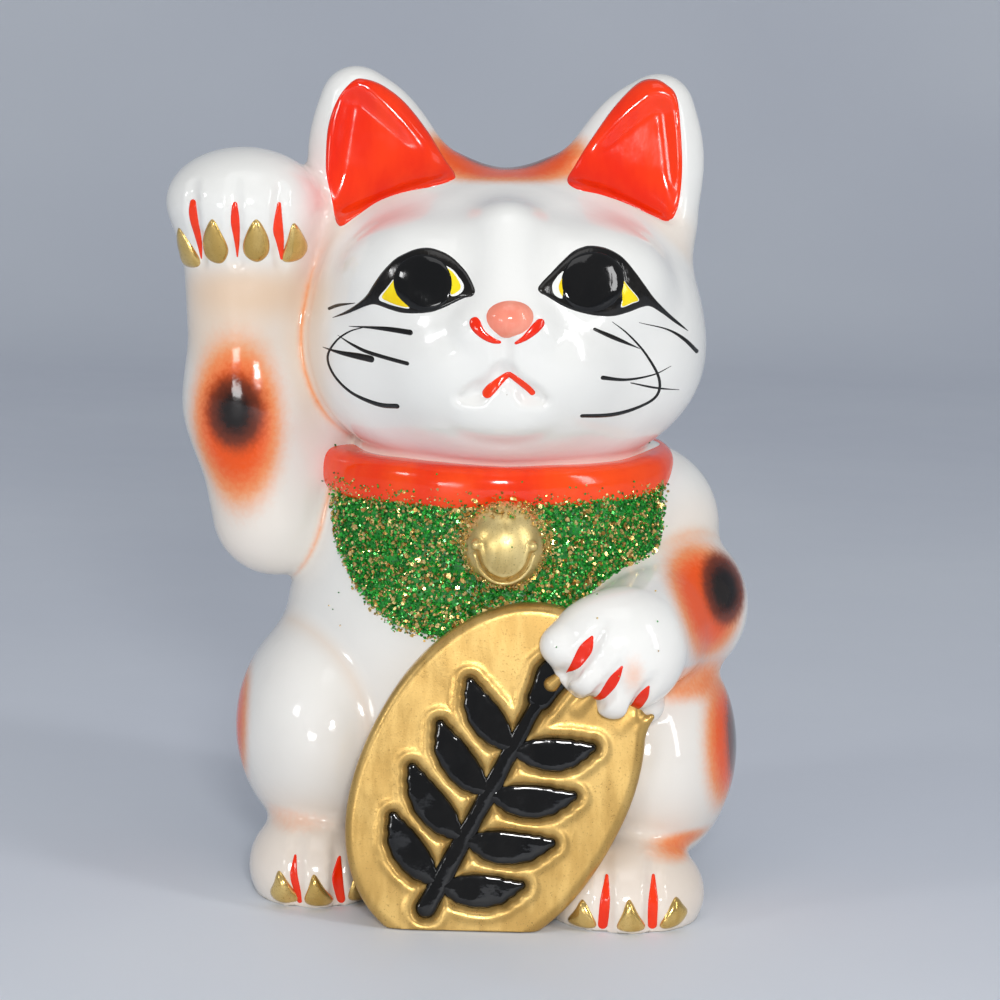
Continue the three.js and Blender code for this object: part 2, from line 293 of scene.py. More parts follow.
def lowered_arm_field():
    arm = blend(9,
                ellipsoid((38.5, -6, 63.5), (15.5, 17, 15.5)),
                limb((38, -10, 62.5), 14.5, (28.5, -41, 61), 12.5))
    paw = blend(5, arm, ellipsoid((24, -45, 59.3), (13.5, 9.8, 11.5), (0, 30, 0)))
    tips = front(np.array([(13.4, 61.6), (19.2, 56), (25.2, 50.6), (32.2, 47.4)]), paw)
    tips = [bounded(ellipsoid(tip + (0, 3, 0), (4.3, 4.7, 4.3)), tip, tip, 10) for tip in tips]
    paw = blend(2, paw, *tips)
    between = [[(22, 67), (20, 63.6), (17.4, 59.4), (13.9, 54.6)],
               [(27.6, 61), (25.2, 56.4), (22.4, 51.8), (19.4, 48.4)],
               [(33.4, 56), (31.6, 52.6), (29.8, 49), (27.4, 45.4)]]
    return dented(paw, between, 1.6, 1.7)


def leg_field(thigh, thigh_size, foot, foot_size, gaps):
    body = blend(4, ellipsoid(thigh, thigh_size), ellipsoid(foot, foot_size))
    return dented(body, [[(x, 15), (x, 10), (x, 5), (x, 1)] for x in gaps], 1.7, 1.1)


def torso_field():
    belly = blend(20, ellipsoid((0, 2, 62), (45, 36, 34)), ellipsoid((0, 2, 34), (45, 43, 41)))
    trunk = blend(14, ellipsoid((0, -1, 86), (36.5, 33.5, 20)), belly)
    return blend(8, trunk, ellipsoid((33.5, 3, 79), (15.5, 15.5, 17)))


def tail_field():
    return blend(6, limb((9, 39, 9), 8, (-4, 43, 13), 7.5), limb((-4, 43, 13), 7.5, (-15, 42, 27), 5))


members = {
    "torso": bounded(torso_field(), (-47, -43, -8), (51, 48, 108)),
    "head": bounded(head_field(), (-46, -50, 86), (46, 34, 160)),
    "right_ear": bounded(ear_field(-1), (-45, -14, 136), (-4, 12, 180)),
    "left_ear": bounded(ear_field(1), (4, -14, 136), (45, 12, 180)),
    "raised_arm": bounded(raised_arm_field(), (-76, -23, 64), (-30, 16, 163)),
    "lowered_arm": bounded(lowered_arm_field(), (7, -60, 41), (55, 14, 80)),
    "right_leg": bounded(leg_field((-36, -6, 34), (21.5, 31, 26), (-38.5, -23, 6), (14.5, 17.5, 12.8),
                                   (-42, -32.8)), (-58, -42, -8), (-12, 27, 61)),
    "left_leg": bounded(leg_field((33, -8, 31), (21, 33, 27), (29, -35, 5), (17.5, 18.5, 12.8),
                                  (24.5, 34.8)), (10, -55, -8), (56, 27, 60)),
    "tail": bounded(tail_field(), (-22, 30, 0), (18, 52, 34)),
}


def body_field():
    lower = blend(4, *[members[name] for name in ("torso", "right_leg", "left_leg", "tail", "lowered_arm")])
    upper = blend(9, *[members[name] for name in ("head", "right_ear", "left_ear")])
    upper = blend(3.5, upper, members["raised_arm"])
    joined = blend(3, lower, upper)
    x, y = VENT["centre"]
    vent = limb((x, y, -5), VENT["radius"], (x, y, VENT["depth"]), VENT["radius"])

    def field(p):
        return np.maximum(np.maximum(joined(p), -p[:, 2]), -vent(p))
    return field


skin = body_field()


# ---------- surfaces from fields ----------
BLOCK = 4        # grid cells along each edge of a block that is sampled or passed over as one
CORNERS = np.array([(i, j, k) for i in (0, 1) for j in (0, 1) for k in (0, 1)])


def surface(field, low, high, step, smooth=2):
    """Points and four-sided faces of a field's surface, one point in each grid cell that it passes."""
    low = np.array(low, float) - step
    blocks = np.ceil((np.array(high, float) + step - low) / (BLOCK * step)).astype(int)
    axes = [low[i] + np.arange(blocks[i] + 1) * BLOCK * step for i in range(3)]
    coarse = sampled(field, np.stack(np.meshgrid(*axes, indexing="ij"), -1).reshape(-1, 3))
    coarse = np.abs(coarse).reshape(blocks + 1)
    wide, deep, tall = blocks
    nearest = np.min([coarse[i:wide + i, j:deep + j, k:tall + k] for i, j, k in CORNERS], axis=0)
    active = np.argwhere(nearest < BLOCK * step * 1.3)
    lattice = np.stack(np.meshgrid(*[np.arange(BLOCK + 1)] * 3, indexing="ij"), -1).reshape(-1, 3)
    size = tuple(blocks * BLOCK + 2)
    fine = (active[:, None] * BLOCK + lattice).reshape(-1, 3)
    keys, back = np.unique(np.ravel_multi_index(fine.T, size), return_inverse=True)
    values = sampled(field, np.stack(np.unravel_index(keys, size), 1) * step + low)
    values = values[back].reshape(len(active), BLOCK + 1, BLOCK + 1, BLOCK + 1)
    at_corners = np.stack([values[:, i:BLOCK + i, j:BLOCK + j, k:BLOCK + k] for i, j, k in CORNERS], -1)
    inside = at_corners < 0
    mixed = inside.any(-1) & ~inside.all(-1)
    where = np.argwhere(mixed)
    cells = active[where[:, 0]] * BLOCK + where[:, 1:]
    corners = at_corners[mixed]
    order = np.argsort(np.ravel_multi_index(cells.T, size))
    cells, corners = cells[order], corners[order]
    cell_keys = np.ravel_multi_index(cells.T, size)

    total, count = np.zeros((len(cells), 3)), np.zeros(len(cells))
    for a in range(8):
        for b in range(a + 1, 8):
            if np.abs(CORNERS[a] - CORNERS[b]).sum() == 1:
                crossed = (corners[:, a] < 0) != (corners[:, b] < 0)
                first, second = corners[crossed, a], corners[crossed, b]
                share = (first / (first - second))[:, None]
                total[crossed] += CORNERS[a] + share * (CORNERS[b] - CORNERS[a])
                count[crossed] += 1
    points = (cells + total / count[:, None]) * step + low

    faces = []
    for axis, second, third in ((0, 1, 2), (1, 2, 0), (2, 0, 1)):
        far = [i for i, corner in enumerate(CORNERS) if corner[axis] == 1 and corner.sum() == 1][0]
        starts_inside = corners[:, 0] < 0
        crossed = starts_inside != (corners[:, far] < 0)
        ring = []
        for back_second, back_third in ((0, 0), (1, 0), (1, 1), (0, 1)):
            beside = cells[crossed].copy()
            beside[:, second] -= back_second
            beside[:, third] -= back_third
            ring.append(np.searchsorted(cell_keys, np.ravel_multi_index(np.maximum(beside, 0).T, size)))
        quads = np.stack(ring, 1)
        turned_over = ~starts_inside[crossed]
        quads[turned_over] = quads[turned_over][:, ::-1]
        faces.append(quads)
    faces = np.concatenate(faces)

    for _ in range(smooth):
        sides = np.concatenate([faces[:, [i, (i + 1) % 4]] for i in range(4)])
        neighbours = np.bincount(sides[:, 0], minlength=len(points))
        start, end = sides.T
        middle = np.stack([np.bincount(start, points[end, i], len(points)) for i in range(3)], 1)
        middle /= np.maximum(neighbours, 1)[:, None]
        points = onto(field, points + 0.5 * (middle - points))
    return onto(field, points), faces


def surface_around(field, centre, reach, step):
    centre = np.array(centre, float)
    return surface(field, centre - reach, centre + reach, step)


def only(points, faces, *rows):
    """The points that the faces use, the faces renumbered, and the same rows of other arrays."""
    used, renumbered = np.unique(faces, return_inverse=True)
    return (points[used], renumbered.reshape(faces.shape), *[row[used] for row in rows])


# ---------- objects ----------
def piece(name, points, faces, material, slot, replaces=(), normals=None, marks=None):
    """A mesh object from points in design millimetres, riding on the cat's one body."""
    mesh = bpy.data.meshes.new(name)
    faces = np.asarray(faces)
    mesh.vertices.add(len(points))
    mesh.vertices.foreach_set("co", placed(points).astype(np.float32).ravel())
    mesh.loops.add(faces.size)
    mesh.loops.foreach_set("vertex_index", faces.astype(np.int32).ravel())
    mesh.polygons.add(len(faces))
    mesh.polygons.foreach_set("loop_start", (np.arange(len(faces)) * faces.shape[1]).astype(np.int32))
    mesh.update(calc_edges=True)
    mesh.validate()
    mesh.shade_smooth()
    if normals is not None:
        mesh.normals_split_custom_set(np.asarray(normals, np.float32))
    for mark, values in (marks or {}).items():
        attribute = mesh.attributes.new(mark, "FLOAT", "POINT")
        attribute.data.foreach_set("value", np.asarray(values, np.float32))
    made = bpy.data.objects.new(name, mesh)
    bpy.context.scene.collection.objects.link(made)
    mesh.materials.append(material)
    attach(made, "root")
    if replaces:
        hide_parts(*replaces)
    return made


def shell(points, faces, normals, wall):
    """Faces closed by the same faces further in and a rim. Gives points, faces and loop normals."""
    count = len(points)
    sides = np.concatenate([faces[:, [i, (i + 1) % 4]] for i in range(4)])
    forward = sides[:, 0] * count + sides[:, 1]
    backward = sides[:, 1] * count + sides[:, 0]
    a, b = sides[~np.isin(forward, backward)].T
    rim = np.stack([b, a, a + count, b + count], 1)
    inner = faces[:, ::-1] + count
    both = np.concatenate([points, points - normals * wall])
    rim_normals = unit(np.cross(both[rim[:, 1]] - both[rim[:, 0]], both[rim[:, 3]] - both[rim[:, 0]]))
    loop_normals = np.concatenate([normals[faces.ravel()], -normals[inner.ravel() - count],
                                   np.repeat(rim_normals, 4, 0)])
    return both, np.concatenate([faces, inner, rim]), loop_normals


# ---------- materials ----------
def colour(red, green, blue):
    """A screen colour from 0 to 255 as the linear colour that Blender's sockets take."""
    parts = [c / 255 for c in (red, green, blue)]
    return (*[c / 12.92 if c < 0.04045 else ((c + 0.055) / 1.055) ** 2.4 for c in parts], 1)


class Material:
    """A Principled material and short ways to add nodes to it."""

    def __init__(self, name, **sockets):
        self.data = bpy.data.materials.new(name)
        self.data.use_nodes = True
        self.tree = self.data.node_tree
        self.shader = self.tree.nodes["Principled BSDF"]
        self.place = self.node("ShaderNodeTexCoord").outputs["Object"]
        for socket, value in sockets.items():
            self.put(socket.replace("_", " "), value)

    def join(self, socket, value):
        if isinstance(value, bpy.types.NodeSocket):
            self.tree.links.new(value, socket)
        else:
            socket.default_value = value

    def put(self, socket, value):
        self.join(self.shader.inputs[socket], value)

    def node(self, kind, inputs=None, **properties):
        made = self.tree.nodes.new(kind)
        for key, value in properties.items():
            setattr(made, key, value)
        for socket, value in (inputs or {}).items():
            self.join(made.inputs[socket], value)
        return made

    def noise(self, scale, detail=2, roughness=0.5, place=None):
        inputs = {"Vector": place or self.place, "Scale": scale, "Detail": detail, "Roughness": roughness}
        return self.node("ShaderNodeTexNoise", inputs).outputs["Fac"]

    def cells(self, scale):
        made = self.node("ShaderNodeTexVoronoi", {"Vector": self.place, "Scale": scale})
        return made.outputs["Distance"]

    def mark(self, name):
        return self.node("ShaderNodeAttribute", attribute_name=name).outputs["Fac"]

    def remap(self, value, low, high, to_low=0.0, to_high=1.0):
        inputs = {"Value": value, "From Min": low, "From Max": high, "To Min": to_low, "To Max": to_high}
        return self.node("ShaderNodeMapRange", inputs, interpolation_type="SMOOTHSTEP").outputs["Result"]

    def maths(self, a, b, operation="ADD"):
        return self.node("ShaderNodeMath", {0: a, 1: b}, operation=operation).outputs[0]

    def mix(self, share, a, b):
        made = self.node("ShaderNodeMix", data_type="RGBA")
        for socket, value in ((0, share), (6, a), (7, b)):
            self.join(made.inputs[socket], value)
        return made.outputs[2]

    def bump(self, height, distance, strength, under=None):
        inputs = {"Height": height, "Distance": distance, "Strength": strength}
        if under:
            inputs["Normal"] = under
        return self.node("ShaderNodeBump", inputs).outputs["Normal"]


def glaze_material():
    """White glaze with sprayed colour and a crease tint that is partly painted shade, whose places are
    marked on the mesh, and bare clay underneath.
    """
    made = Material("white_glaze", IOR=1.5)
    grain = made.noise(900, 3)
    drift = made.noise(28, 2)

    def sprayed(mark, low, high, rough):
        speckled = made.maths(made.mark(mark), made.remap(grain, 0.3, 0.7, -rough / 2, rough / 2))
        return made.remap(speckled, low + rough / 2, high)
    paint = made.mix(made.remap(drift, 0.35, 0.65), colour(240, 239, 234), colour(233, 232, 227))
    # cream tint; where it follows the creases it is partly painted shade
    paint = made.mix(made.mark("cream_and_shade"), paint, colour(228, 198, 168))
    paint = made.mix(made.mark("pink"), paint, colour(236, 170, 166))
    # the orange mark also tints the creases, partly as painted shade
    paint = made.mix(sprayed("orange", 0.0, 0.6, 0.04), paint, colour(242, 160, 104))
    paint = made.mix(sprayed("orange", 0.3, 0.95, 0.08), paint, colour(242, 86, 8))
    paint = made.mix(sprayed("black", 0.0, 0.5, 0.06), paint, colour(120, 48, 20))
    paint = made.mix(sprayed("black", 0.3, 0.95, 0.08), paint, colour(20, 11, 6))
    specks = made.remap(made.cells(160), 0.02, 0.035, 1, 0)
    few = made.remap(made.noise(60, 1), 0.62, 0.64)
    paint = made.mix(made.maths(specks, few, "MULTIPLY"), paint, colour(150, 132, 112))
    bare = made.mark("bare")
    clay = made.mix(made.noise(700, 4), colour(206, 196, 182), colour(226, 219, 207))
    made.put("Base Color", made.mix(bare, paint, clay))
    glossy = made.remap(made.noise(120, 3), 0.3, 0.7, 0.07, 0.15)
    made.put("Roughness", made.node("ShaderNodeMix", {0: bare, 2: glossy, 3: 0.75}).outputs[0])
    waves = made.bump(made.noise(55, 1), 0.0009, 0.35)
    waves = made.bump(made.noise(420, 2), 0.00008, 0.5, waves)
    made.put("Normal", made.bump(grain, 0.00003, bare, waves))
    return made.data


def enamel_material(name, deep, light, gloss=0.12, streak=60, ripple=0.00012):
    """Brushed-on enamel: slightly uneven colour and thickness, with a wet gloss."""
    made = Material(name, IOR=1.48)
    drawn = made.node("ShaderNodeMapping", {"Vector": made.place, "Scale": (1, 1, 0.25)}).outputs[0]
    streaks = made.noise(streak * 4, 3, 0.6, drawn)
    pools = made.noise(streak, 2)
    share = made.remap(made.maths(made.maths(streaks, pools), 0.5, "MULTIPLY"), 0.38, 0.62)
    made.put("Base Color", made.mix(share, colour(*deep), colour(*light)))
    made.put("Roughness", made.remap(made.noise(streak * 6, 3), 0.3, 0.7, gloss * 0.6, gloss * 1.6))
    made.put("Normal", made.bump(made.noise(500), ripple * 0.4, 0.5, made.bump(streaks, ripple, 0.6)))
    return made.data


def gold_material(name, deep, light, rough, grain_depth=0.00003, metal=0.85):
    """Gold paint: metal flake in a binder, with brushed streaks, fine grain and dull spots."""
    made = Material(name, Metallic=metal, IOR=1.5)
    drawn = made.node("ShaderNodeMapping", {"Vector": made.place, "Rotation": (0, 0.5, 0.3),
                                            "Scale": (1, 1, 0.2)}).outputs[0]
    streaks = made.noise(260, 3, 0.6, drawn)
    grain = made.noise(2200, 2, 0.7)
    share = made.remap(made.maths(streaks, made.noise(70, 3)), 0.8, 1.2)
    tone = made.mix(share, colour(*deep), colour(*light))
    made.put("Base Color", made.mix(made.remap(grain, 0.55, 0.75), tone, colour(*[c * 0.86 for c in deep])))
    made.put("Roughness", made.remap(made.maths(grain, streaks), 0.7, 1.3, rough * 0.8, rough * 1.35))
    made.put("Normal", made.bump(grain, grain_depth, 0.5, made.bump(streaks, 0.00004, 0.35)))
    return made.data


def glitter_material(name, dark, light, metal):
    """Flakes whose own shade is marked on the mesh."""
    made = Material(name, Metallic=metal, Specular_IOR_Level=0.8)
    shade = made.maths(made.mark("shade"), made.remap(made.noise(1500, 1), 0.3, 0.7, -0.15, 0.15))
    made.put("Base Color", made.mix(shade, colour(*dark), colour(*light)))
    made.put("Roughness", made.remap(made.noise(900, 1), 0.3, 0.7, 0.14, 0.32))
    made.put("Normal", made.bump(made.noise(3000, 2), 0.00005, 0.4))
    return made.data


GLAZE = glaze_material()
RED = enamel_material("red_glaze", (234, 38, 4), (246, 58, 12), streak=30)
ORANGE_RED = enamel_material("collar_glaze", (238, 50, 6), (252, 76, 12), streak=24)
PINK = enamel_material("pink_glaze", (242, 140, 116), (248, 162, 138), streak=90)
BLACK = enamel_material("black_enamel", (4, 4, 4), (12, 11, 10), gloss=0.07)
LID = enamel_material("black_brushed", (6, 5, 4), (22, 18, 13), 0.14, 110, 0.0002)
YELLOW = enamel_material("yellow_enamel", (242, 208, 8), (250, 226, 30), streak=90)
EYE_WHITE = enamel_material("white_enamel", (238, 238, 232), (248, 248, 244), streak=90)
GOLD = gold_material("gold_paint", (190, 152, 84), (210, 174, 104), 0.34, 0.00003, 0.7)
CLAW_GOLD = gold_material("claw_gold", (206, 170, 94), (230, 198, 126), 0.2, 0.00002, 0.75)
# the bell's gold is made lighter than the plaque's gold: a painted highlight, so its broad reflection comes
# out bright
HIGHLIGHT_GOLD = gold_material("bell_gold", (212, 184, 116), (238, 214, 148), 0.34, 0.00002)
GREEN_BASE = enamel_material("glitter_bed", (4, 96, 28), (26, 140, 46), 0.3, 200, 0.0004)
GREEN_FLAKE = glitter_material("green_flake", (3, 88, 20), (48, 190, 60), 0.4)
GOLD_FLAKE = glitter_material("gold_flake", (176, 132, 58), (252, 224, 150), 0.75)


# ---------- the cat's skin ----------
def spot(points, centre, radii, soft, turn=(0, 0, 0)):
    """1 inside a sprayed spot and 0 outside it, with a soft edge."""
    reach = length(turned(points - np.array(centre, float), turn) / np.array(radii, float))
    share = np.clip((1 + soft - reach) / (2 * soft), 0, 1)
    return share * share * (3 - 2 * share)


def together(*masks):
    return 1 - np.prod([1 - mask for mask in masks], axis=0)


def sprayed(points):
    """How much of each sprayed colour, with the crease tint that is partly painted shade, is at each point
    of the skin.
    """
    nearest = np.min([sampled(field, points) for field in members.values()], axis=0)
    # how far into a crease between members each point lies; the orange and cream that follow it are partly
    # the airbrushed tint there and partly painted shade
    crease_tint_and_shade = np.clip(nearest / 0.9, 0, 1)
    x, y, z = points.T
    in_front = np.clip(-y / 10, 0, 1)

    def spots(*rows):
        """Spots from rows of strength, centre, radii, softness and sometimes a turn."""
        return together(*[strength * spot(points, *row) for strength, *row in rows])

    orange = spots(
        (1, (-58, -18, 102), (9, 15, 16.5), 0.7),
        (1, (45.5, -28, 68), (8.4, 18, 12), 0.65, (0, -14, 0)),
        (1, (54, -22, 36), (9, 17, 14), 0.6),
        (1, (-60, -12, 35), (6.5, 15, 15), 0.6),
        (1, (-1, -6, 161), (17, 12, 7), 0.5),
        (1, (0, 26, 150), (22, 16, 16), 0.4),
        (1, (4, 46, 60), (20, 16, 22), 0.4),
        # the next rows tint the creases at the feet, the haunch, the shoulders, beside the head and between
        # the paw's fingers: partly the airbrushed tint there and partly painted shade
        (0.25, (-44, -29, 17.5), (9, 13, 2.4), 0.7),
        (0.6, (41, -33, 15.5), (9, 13, 2.4), 0.7),
        (0.5, (42, -28, 50), (10, 18, 3.6), 0.6),
        (0.15 * crease_tint_and_shade, (44, -10, 79), (12, 14, 6), 0.6),
        (0.5 * crease_tint_and_shade, (-40, -6, 84), (8, 14, 20), 0.6),
        (0.5 * crease_tint_and_shade, (-44, -16, 118), (8, 14, 24), 0.5),
        (0.28, (29, -54, 57), (2.2, 8, 4), 0.9))
    black = spots(
        (1, (-58, -19, 105), (5, 12, 6.4), 0.95),
        (1, (49.6, -21, 69.4), (4.4, 12, 6.4), 0.8, (0, -14, 0)),
        (1, (57, -16, 35.6), (6, 11, 9), 0.8),
        (0.8, (0, 4, 162), (11, 11, 6), 0.5),
        (1, (0, 33, 152), (11, 12, 9), 0.5),
        (1, (5, 46, 62), (9, 12, 11), 0.5),
        (1, (-17, 42, 31), (9, 11, 7), 0.5))
    # cream at the wrist and warmer towards the bottom of the body and the feet; in the front creases, beside
    # the head and at the shoulders it is partly painted shade
    cream_and_shade = together(0.35 * crease_tint_and_shade * in_front, spots(
        (0.9, (-56, -17, 131), (15, 12, 5.5), 0.7),
        (0.65, (-60, -15, 122), (13, 12, 9), 0.7),
        (0.5, (-42, -16, 120), (5, 12, 18), 0.6),
        (0.35, (-56, -6, 84), (16, 16, 22), 0.8),
        (0.22, (8, -24, 18), (60, 46, 40), 0.6),
        (0.35, (34, -44, 10), (24, 16, 12), 0.6),
        (0.35, (-40, -30, 10), (20, 16, 12), 0.6),
        (0.3, (44, -12, 80), (12, 16, 8), 0.7)))
    pink = spots(
        (0.3, (-25, -17, 149), (13, 9, 4.5), 0.8, (0, 20, 0)),
        (0.24, (25, -17, 150), (13, 9, 4.5), 0.8, (0, -20, 0)),
        (0.35, (-42, -8, 148), (3.5, 12, 14), 0.8))
    under = 1 - np.clip((z - 0.2) / 0.7, 0, 1)
    return dict(orange=orange, black=black, cream_and_shade=cream_and_shade, pink=pink, bare=under)


def settle_borders(points, faces, owner, fields):
    """Slides the points between two members along the skin to where the members meet."""
    touches = np.zeros((len(points), len(fields)), bool)
    touches[faces.ravel(), np.repeat(owner, 4)] = True
    paired = touches.sum(1) == 2
    for a in range(len(fields)):
        for b in range(a + 1, len(fields)):
            here = np.flatnonzero(paired & touches[:, a] & touches[:, b])
            if len(here) == 0:
                continue

            def lead(p, a=a, b=b):
                return fields[a](p) - fields[b](p)
            spots = points[here]
            across, normal = slope(lead, spots), unit(slope(skin, spots))
            across -= (across * normal).sum(1)[:, None] * normal
            step = -sampled(lead, spots) / np.maximum((across * across).sum(1), 0.05)
            step = step[:, None] * across
            step *= np.minimum(1, 0.45 * FINE / np.maximum(length(step), 1e-9))[:, None]
            points[here] = onto(skin, spots + step)
    return points


def build_skin():
    points, faces = surface(skin, (-76, -57, -0.5), (57, 52, 181), FINE)
    fields = list(members.values())
    owner = np.argmin([sampled(field, points[faces].mean(1)) for field in fields], axis=0)
    points = settle_borders(points, faces, owner, fields)
    normals = unit(slope(skin, points))
    marks = sprayed(points)
    for index, name in enumerate(members):
        own = faces[owner == index]
        part, own, own_normals, *own_marks = only(points, own, normals, *marks.values())
        shape, sides, loop_normals = shell(part, own, own_normals, WALL)
        doubled = {mark: np.tile(values, 2) for mark, values in zip(marks, own_marks)}
        piece(name + "_glazed", shape, sides, GLAZE, "white_glaze", [name], loop_normals, doubled)


# ---------- thin films of paint on the skin ----------
def patch(outline, height, crown=0.0, field=skin, rings=10, spokes=96, rounding=0.12, centre=None):
    """A closed film within an outline of x and z, thicker by `crown` in the middle."""
    edge = curve(outline, spokes, closed=True)
    centre = edge.mean(0) if centre is None else np.array(centre, float)
    share = np.linspace(0, 1, rings + 1)[1:]
    plan = np.concatenate([[centre], (centre + share[:, None, None] * (edge - centre)).reshape(-1, 2)])
    reach = np.concatenate([[0], np.repeat(share, spokes)])
    base = front(plan, field)
    normals = unit(slope(field, base))
    rounded = np.sqrt(np.clip((1 - reach) / rounding, 0, 1))
    top = base + normals * (height * rounded + crown * (1 - reach ** 2))[:, None]
    return closed_by_rings(top, base - normals * SINK, rings, spokes)


def closed_by_rings(top, bottom, rings, spokes):
    """Top and bottom sheets, each a middle point and rings round it, joined into one closed shape."""
    around = np.arange(spokes)
    after = (around + 1) % spokes
    even = around[::2]
    faces = [np.stack([np.zeros(spokes // 2, int), 1 + even, 1 + after[even], 1 + after[after[even]]], 1)]
    for ring in range(rings - 1):
        near, far = 1 + ring * spokes, 1 + (ring + 1) * spokes
        faces.append(np.stack([near + around, far + around, far + after, near + after], 1))
    sheet = np.concatenate(faces)
    count, last = len(top), 1 + (rings - 1) * spokes
    rim = np.stack([last + around, count + last + around, count + last + after, last + after], 1)
    points = np.concatenate([top, bottom])
    faces = np.concatenate([sheet, sheet[:, ::-1] + count, rim])
    return outward(points, faces)


def outward(points, faces):
    """The same closed shape with its faces looking out."""
    a, b, c, d = (points[faces[:, i]] for i in range(4))
    volume = (np.cross(b - a, c - a) * a).sum() + (np.cross(c - a, d - a) * a).sum()
    return points, faces if volume > 0 else faces[:, ::-1]


def ribbon(line, widths, height, field):
    """A closed brush stroke with round ends along a line of x and z, with a width at each point."""
    count, across = 56, 6
    path = curve(line, count, eased=True)
    width = curve([(w, 0) for w in widths], count, eased=True)[:, 0]
    along = np.concatenate([[0], np.cumsum(length(np.diff(path, axis=0)))])
    to_end = np.minimum(along, along[-1] - along) / np.maximum(width / 2, 0.05)
    width = width * np.sqrt(1 - (1 - np.clip(to_end, 0, 1)) ** 2)
    ahead = unit(np.gradient(path, axis=0))
    beside = np.stack([-ahead[:, 1], ahead[:, 0]], 1)
    share = np.linspace(-1, 1, across + 1)
    half = (np.maximum(width, 0.08) / 2)[:, None, None]
    plan = path[:, None] + share[None, :, None] * half * beside[:, None]
    base = front(plan.reshape(-1, 2), field)
    normals = unit(slope(field, base))
    crown = np.tile(np.sqrt(1 - 0.9 * share ** 2), count)
    thin = np.repeat(np.minimum(1, np.maximum(width, 0.1) / 0.8), across + 1)
    top = base + normals * (height * crown * thin)[:, None]
    bottom = base - normals * SINK
    row, total = across + 1, len(top)
    grid = np.meshgrid(np.arange(count - 1), np.arange(across), indexing="ij")
    near = (grid[0] * row + grid[1]).ravel()
    sheet = np.stack([near, near + 1, near + row + 1, near + row], 1)
    border = np.concatenate([np.arange(row), np.arange(1, count) * row + across,
                             (count - 1) * row + np.arange(across - 1, -1, -1),
                             np.arange(count - 2, 0, -1) * row])
    after = np.roll(border, -1)
    rim = np.stack([border, border + total, after + total, after], 1)
    return outward(np.concatenate([top, bottom]), np.concatenate([sheet, sheet[:, ::-1] + total, rim]))


def joined(*shapes):
    """Several shapes as one mesh's points and faces."""
    starts = np.cumsum([0] + [len(points) for points, _ in shapes])
    return (np.concatenate([points for points, _ in shapes]),
            np.concatenate([faces + start for (_, faces), start in zip(shapes, starts)]))


def strokes(lines, height, field=skin, brush=1):
    """Brush strokes as one shape. Each is a line of x and z and the widths along it."""
    return joined(*[ribbon(line, np.array(widths) * brush, height, field) for line, widths in lines])


def disc(centre, radii):
    count = 16
    angle = np.arange(count) * 2 * pi / count
    return np.stack([centre[0] + radii[0] * np.cos(angle), centre[1] + radii[1] * np.sin(angle)], 1)


# ---------- the face ----------
# the paint follows the head alone, so that the raised paw in front of it changes nothing
head_only = blend(9, *[members[name] for name in ("head", "right_ear", "left_ear")])

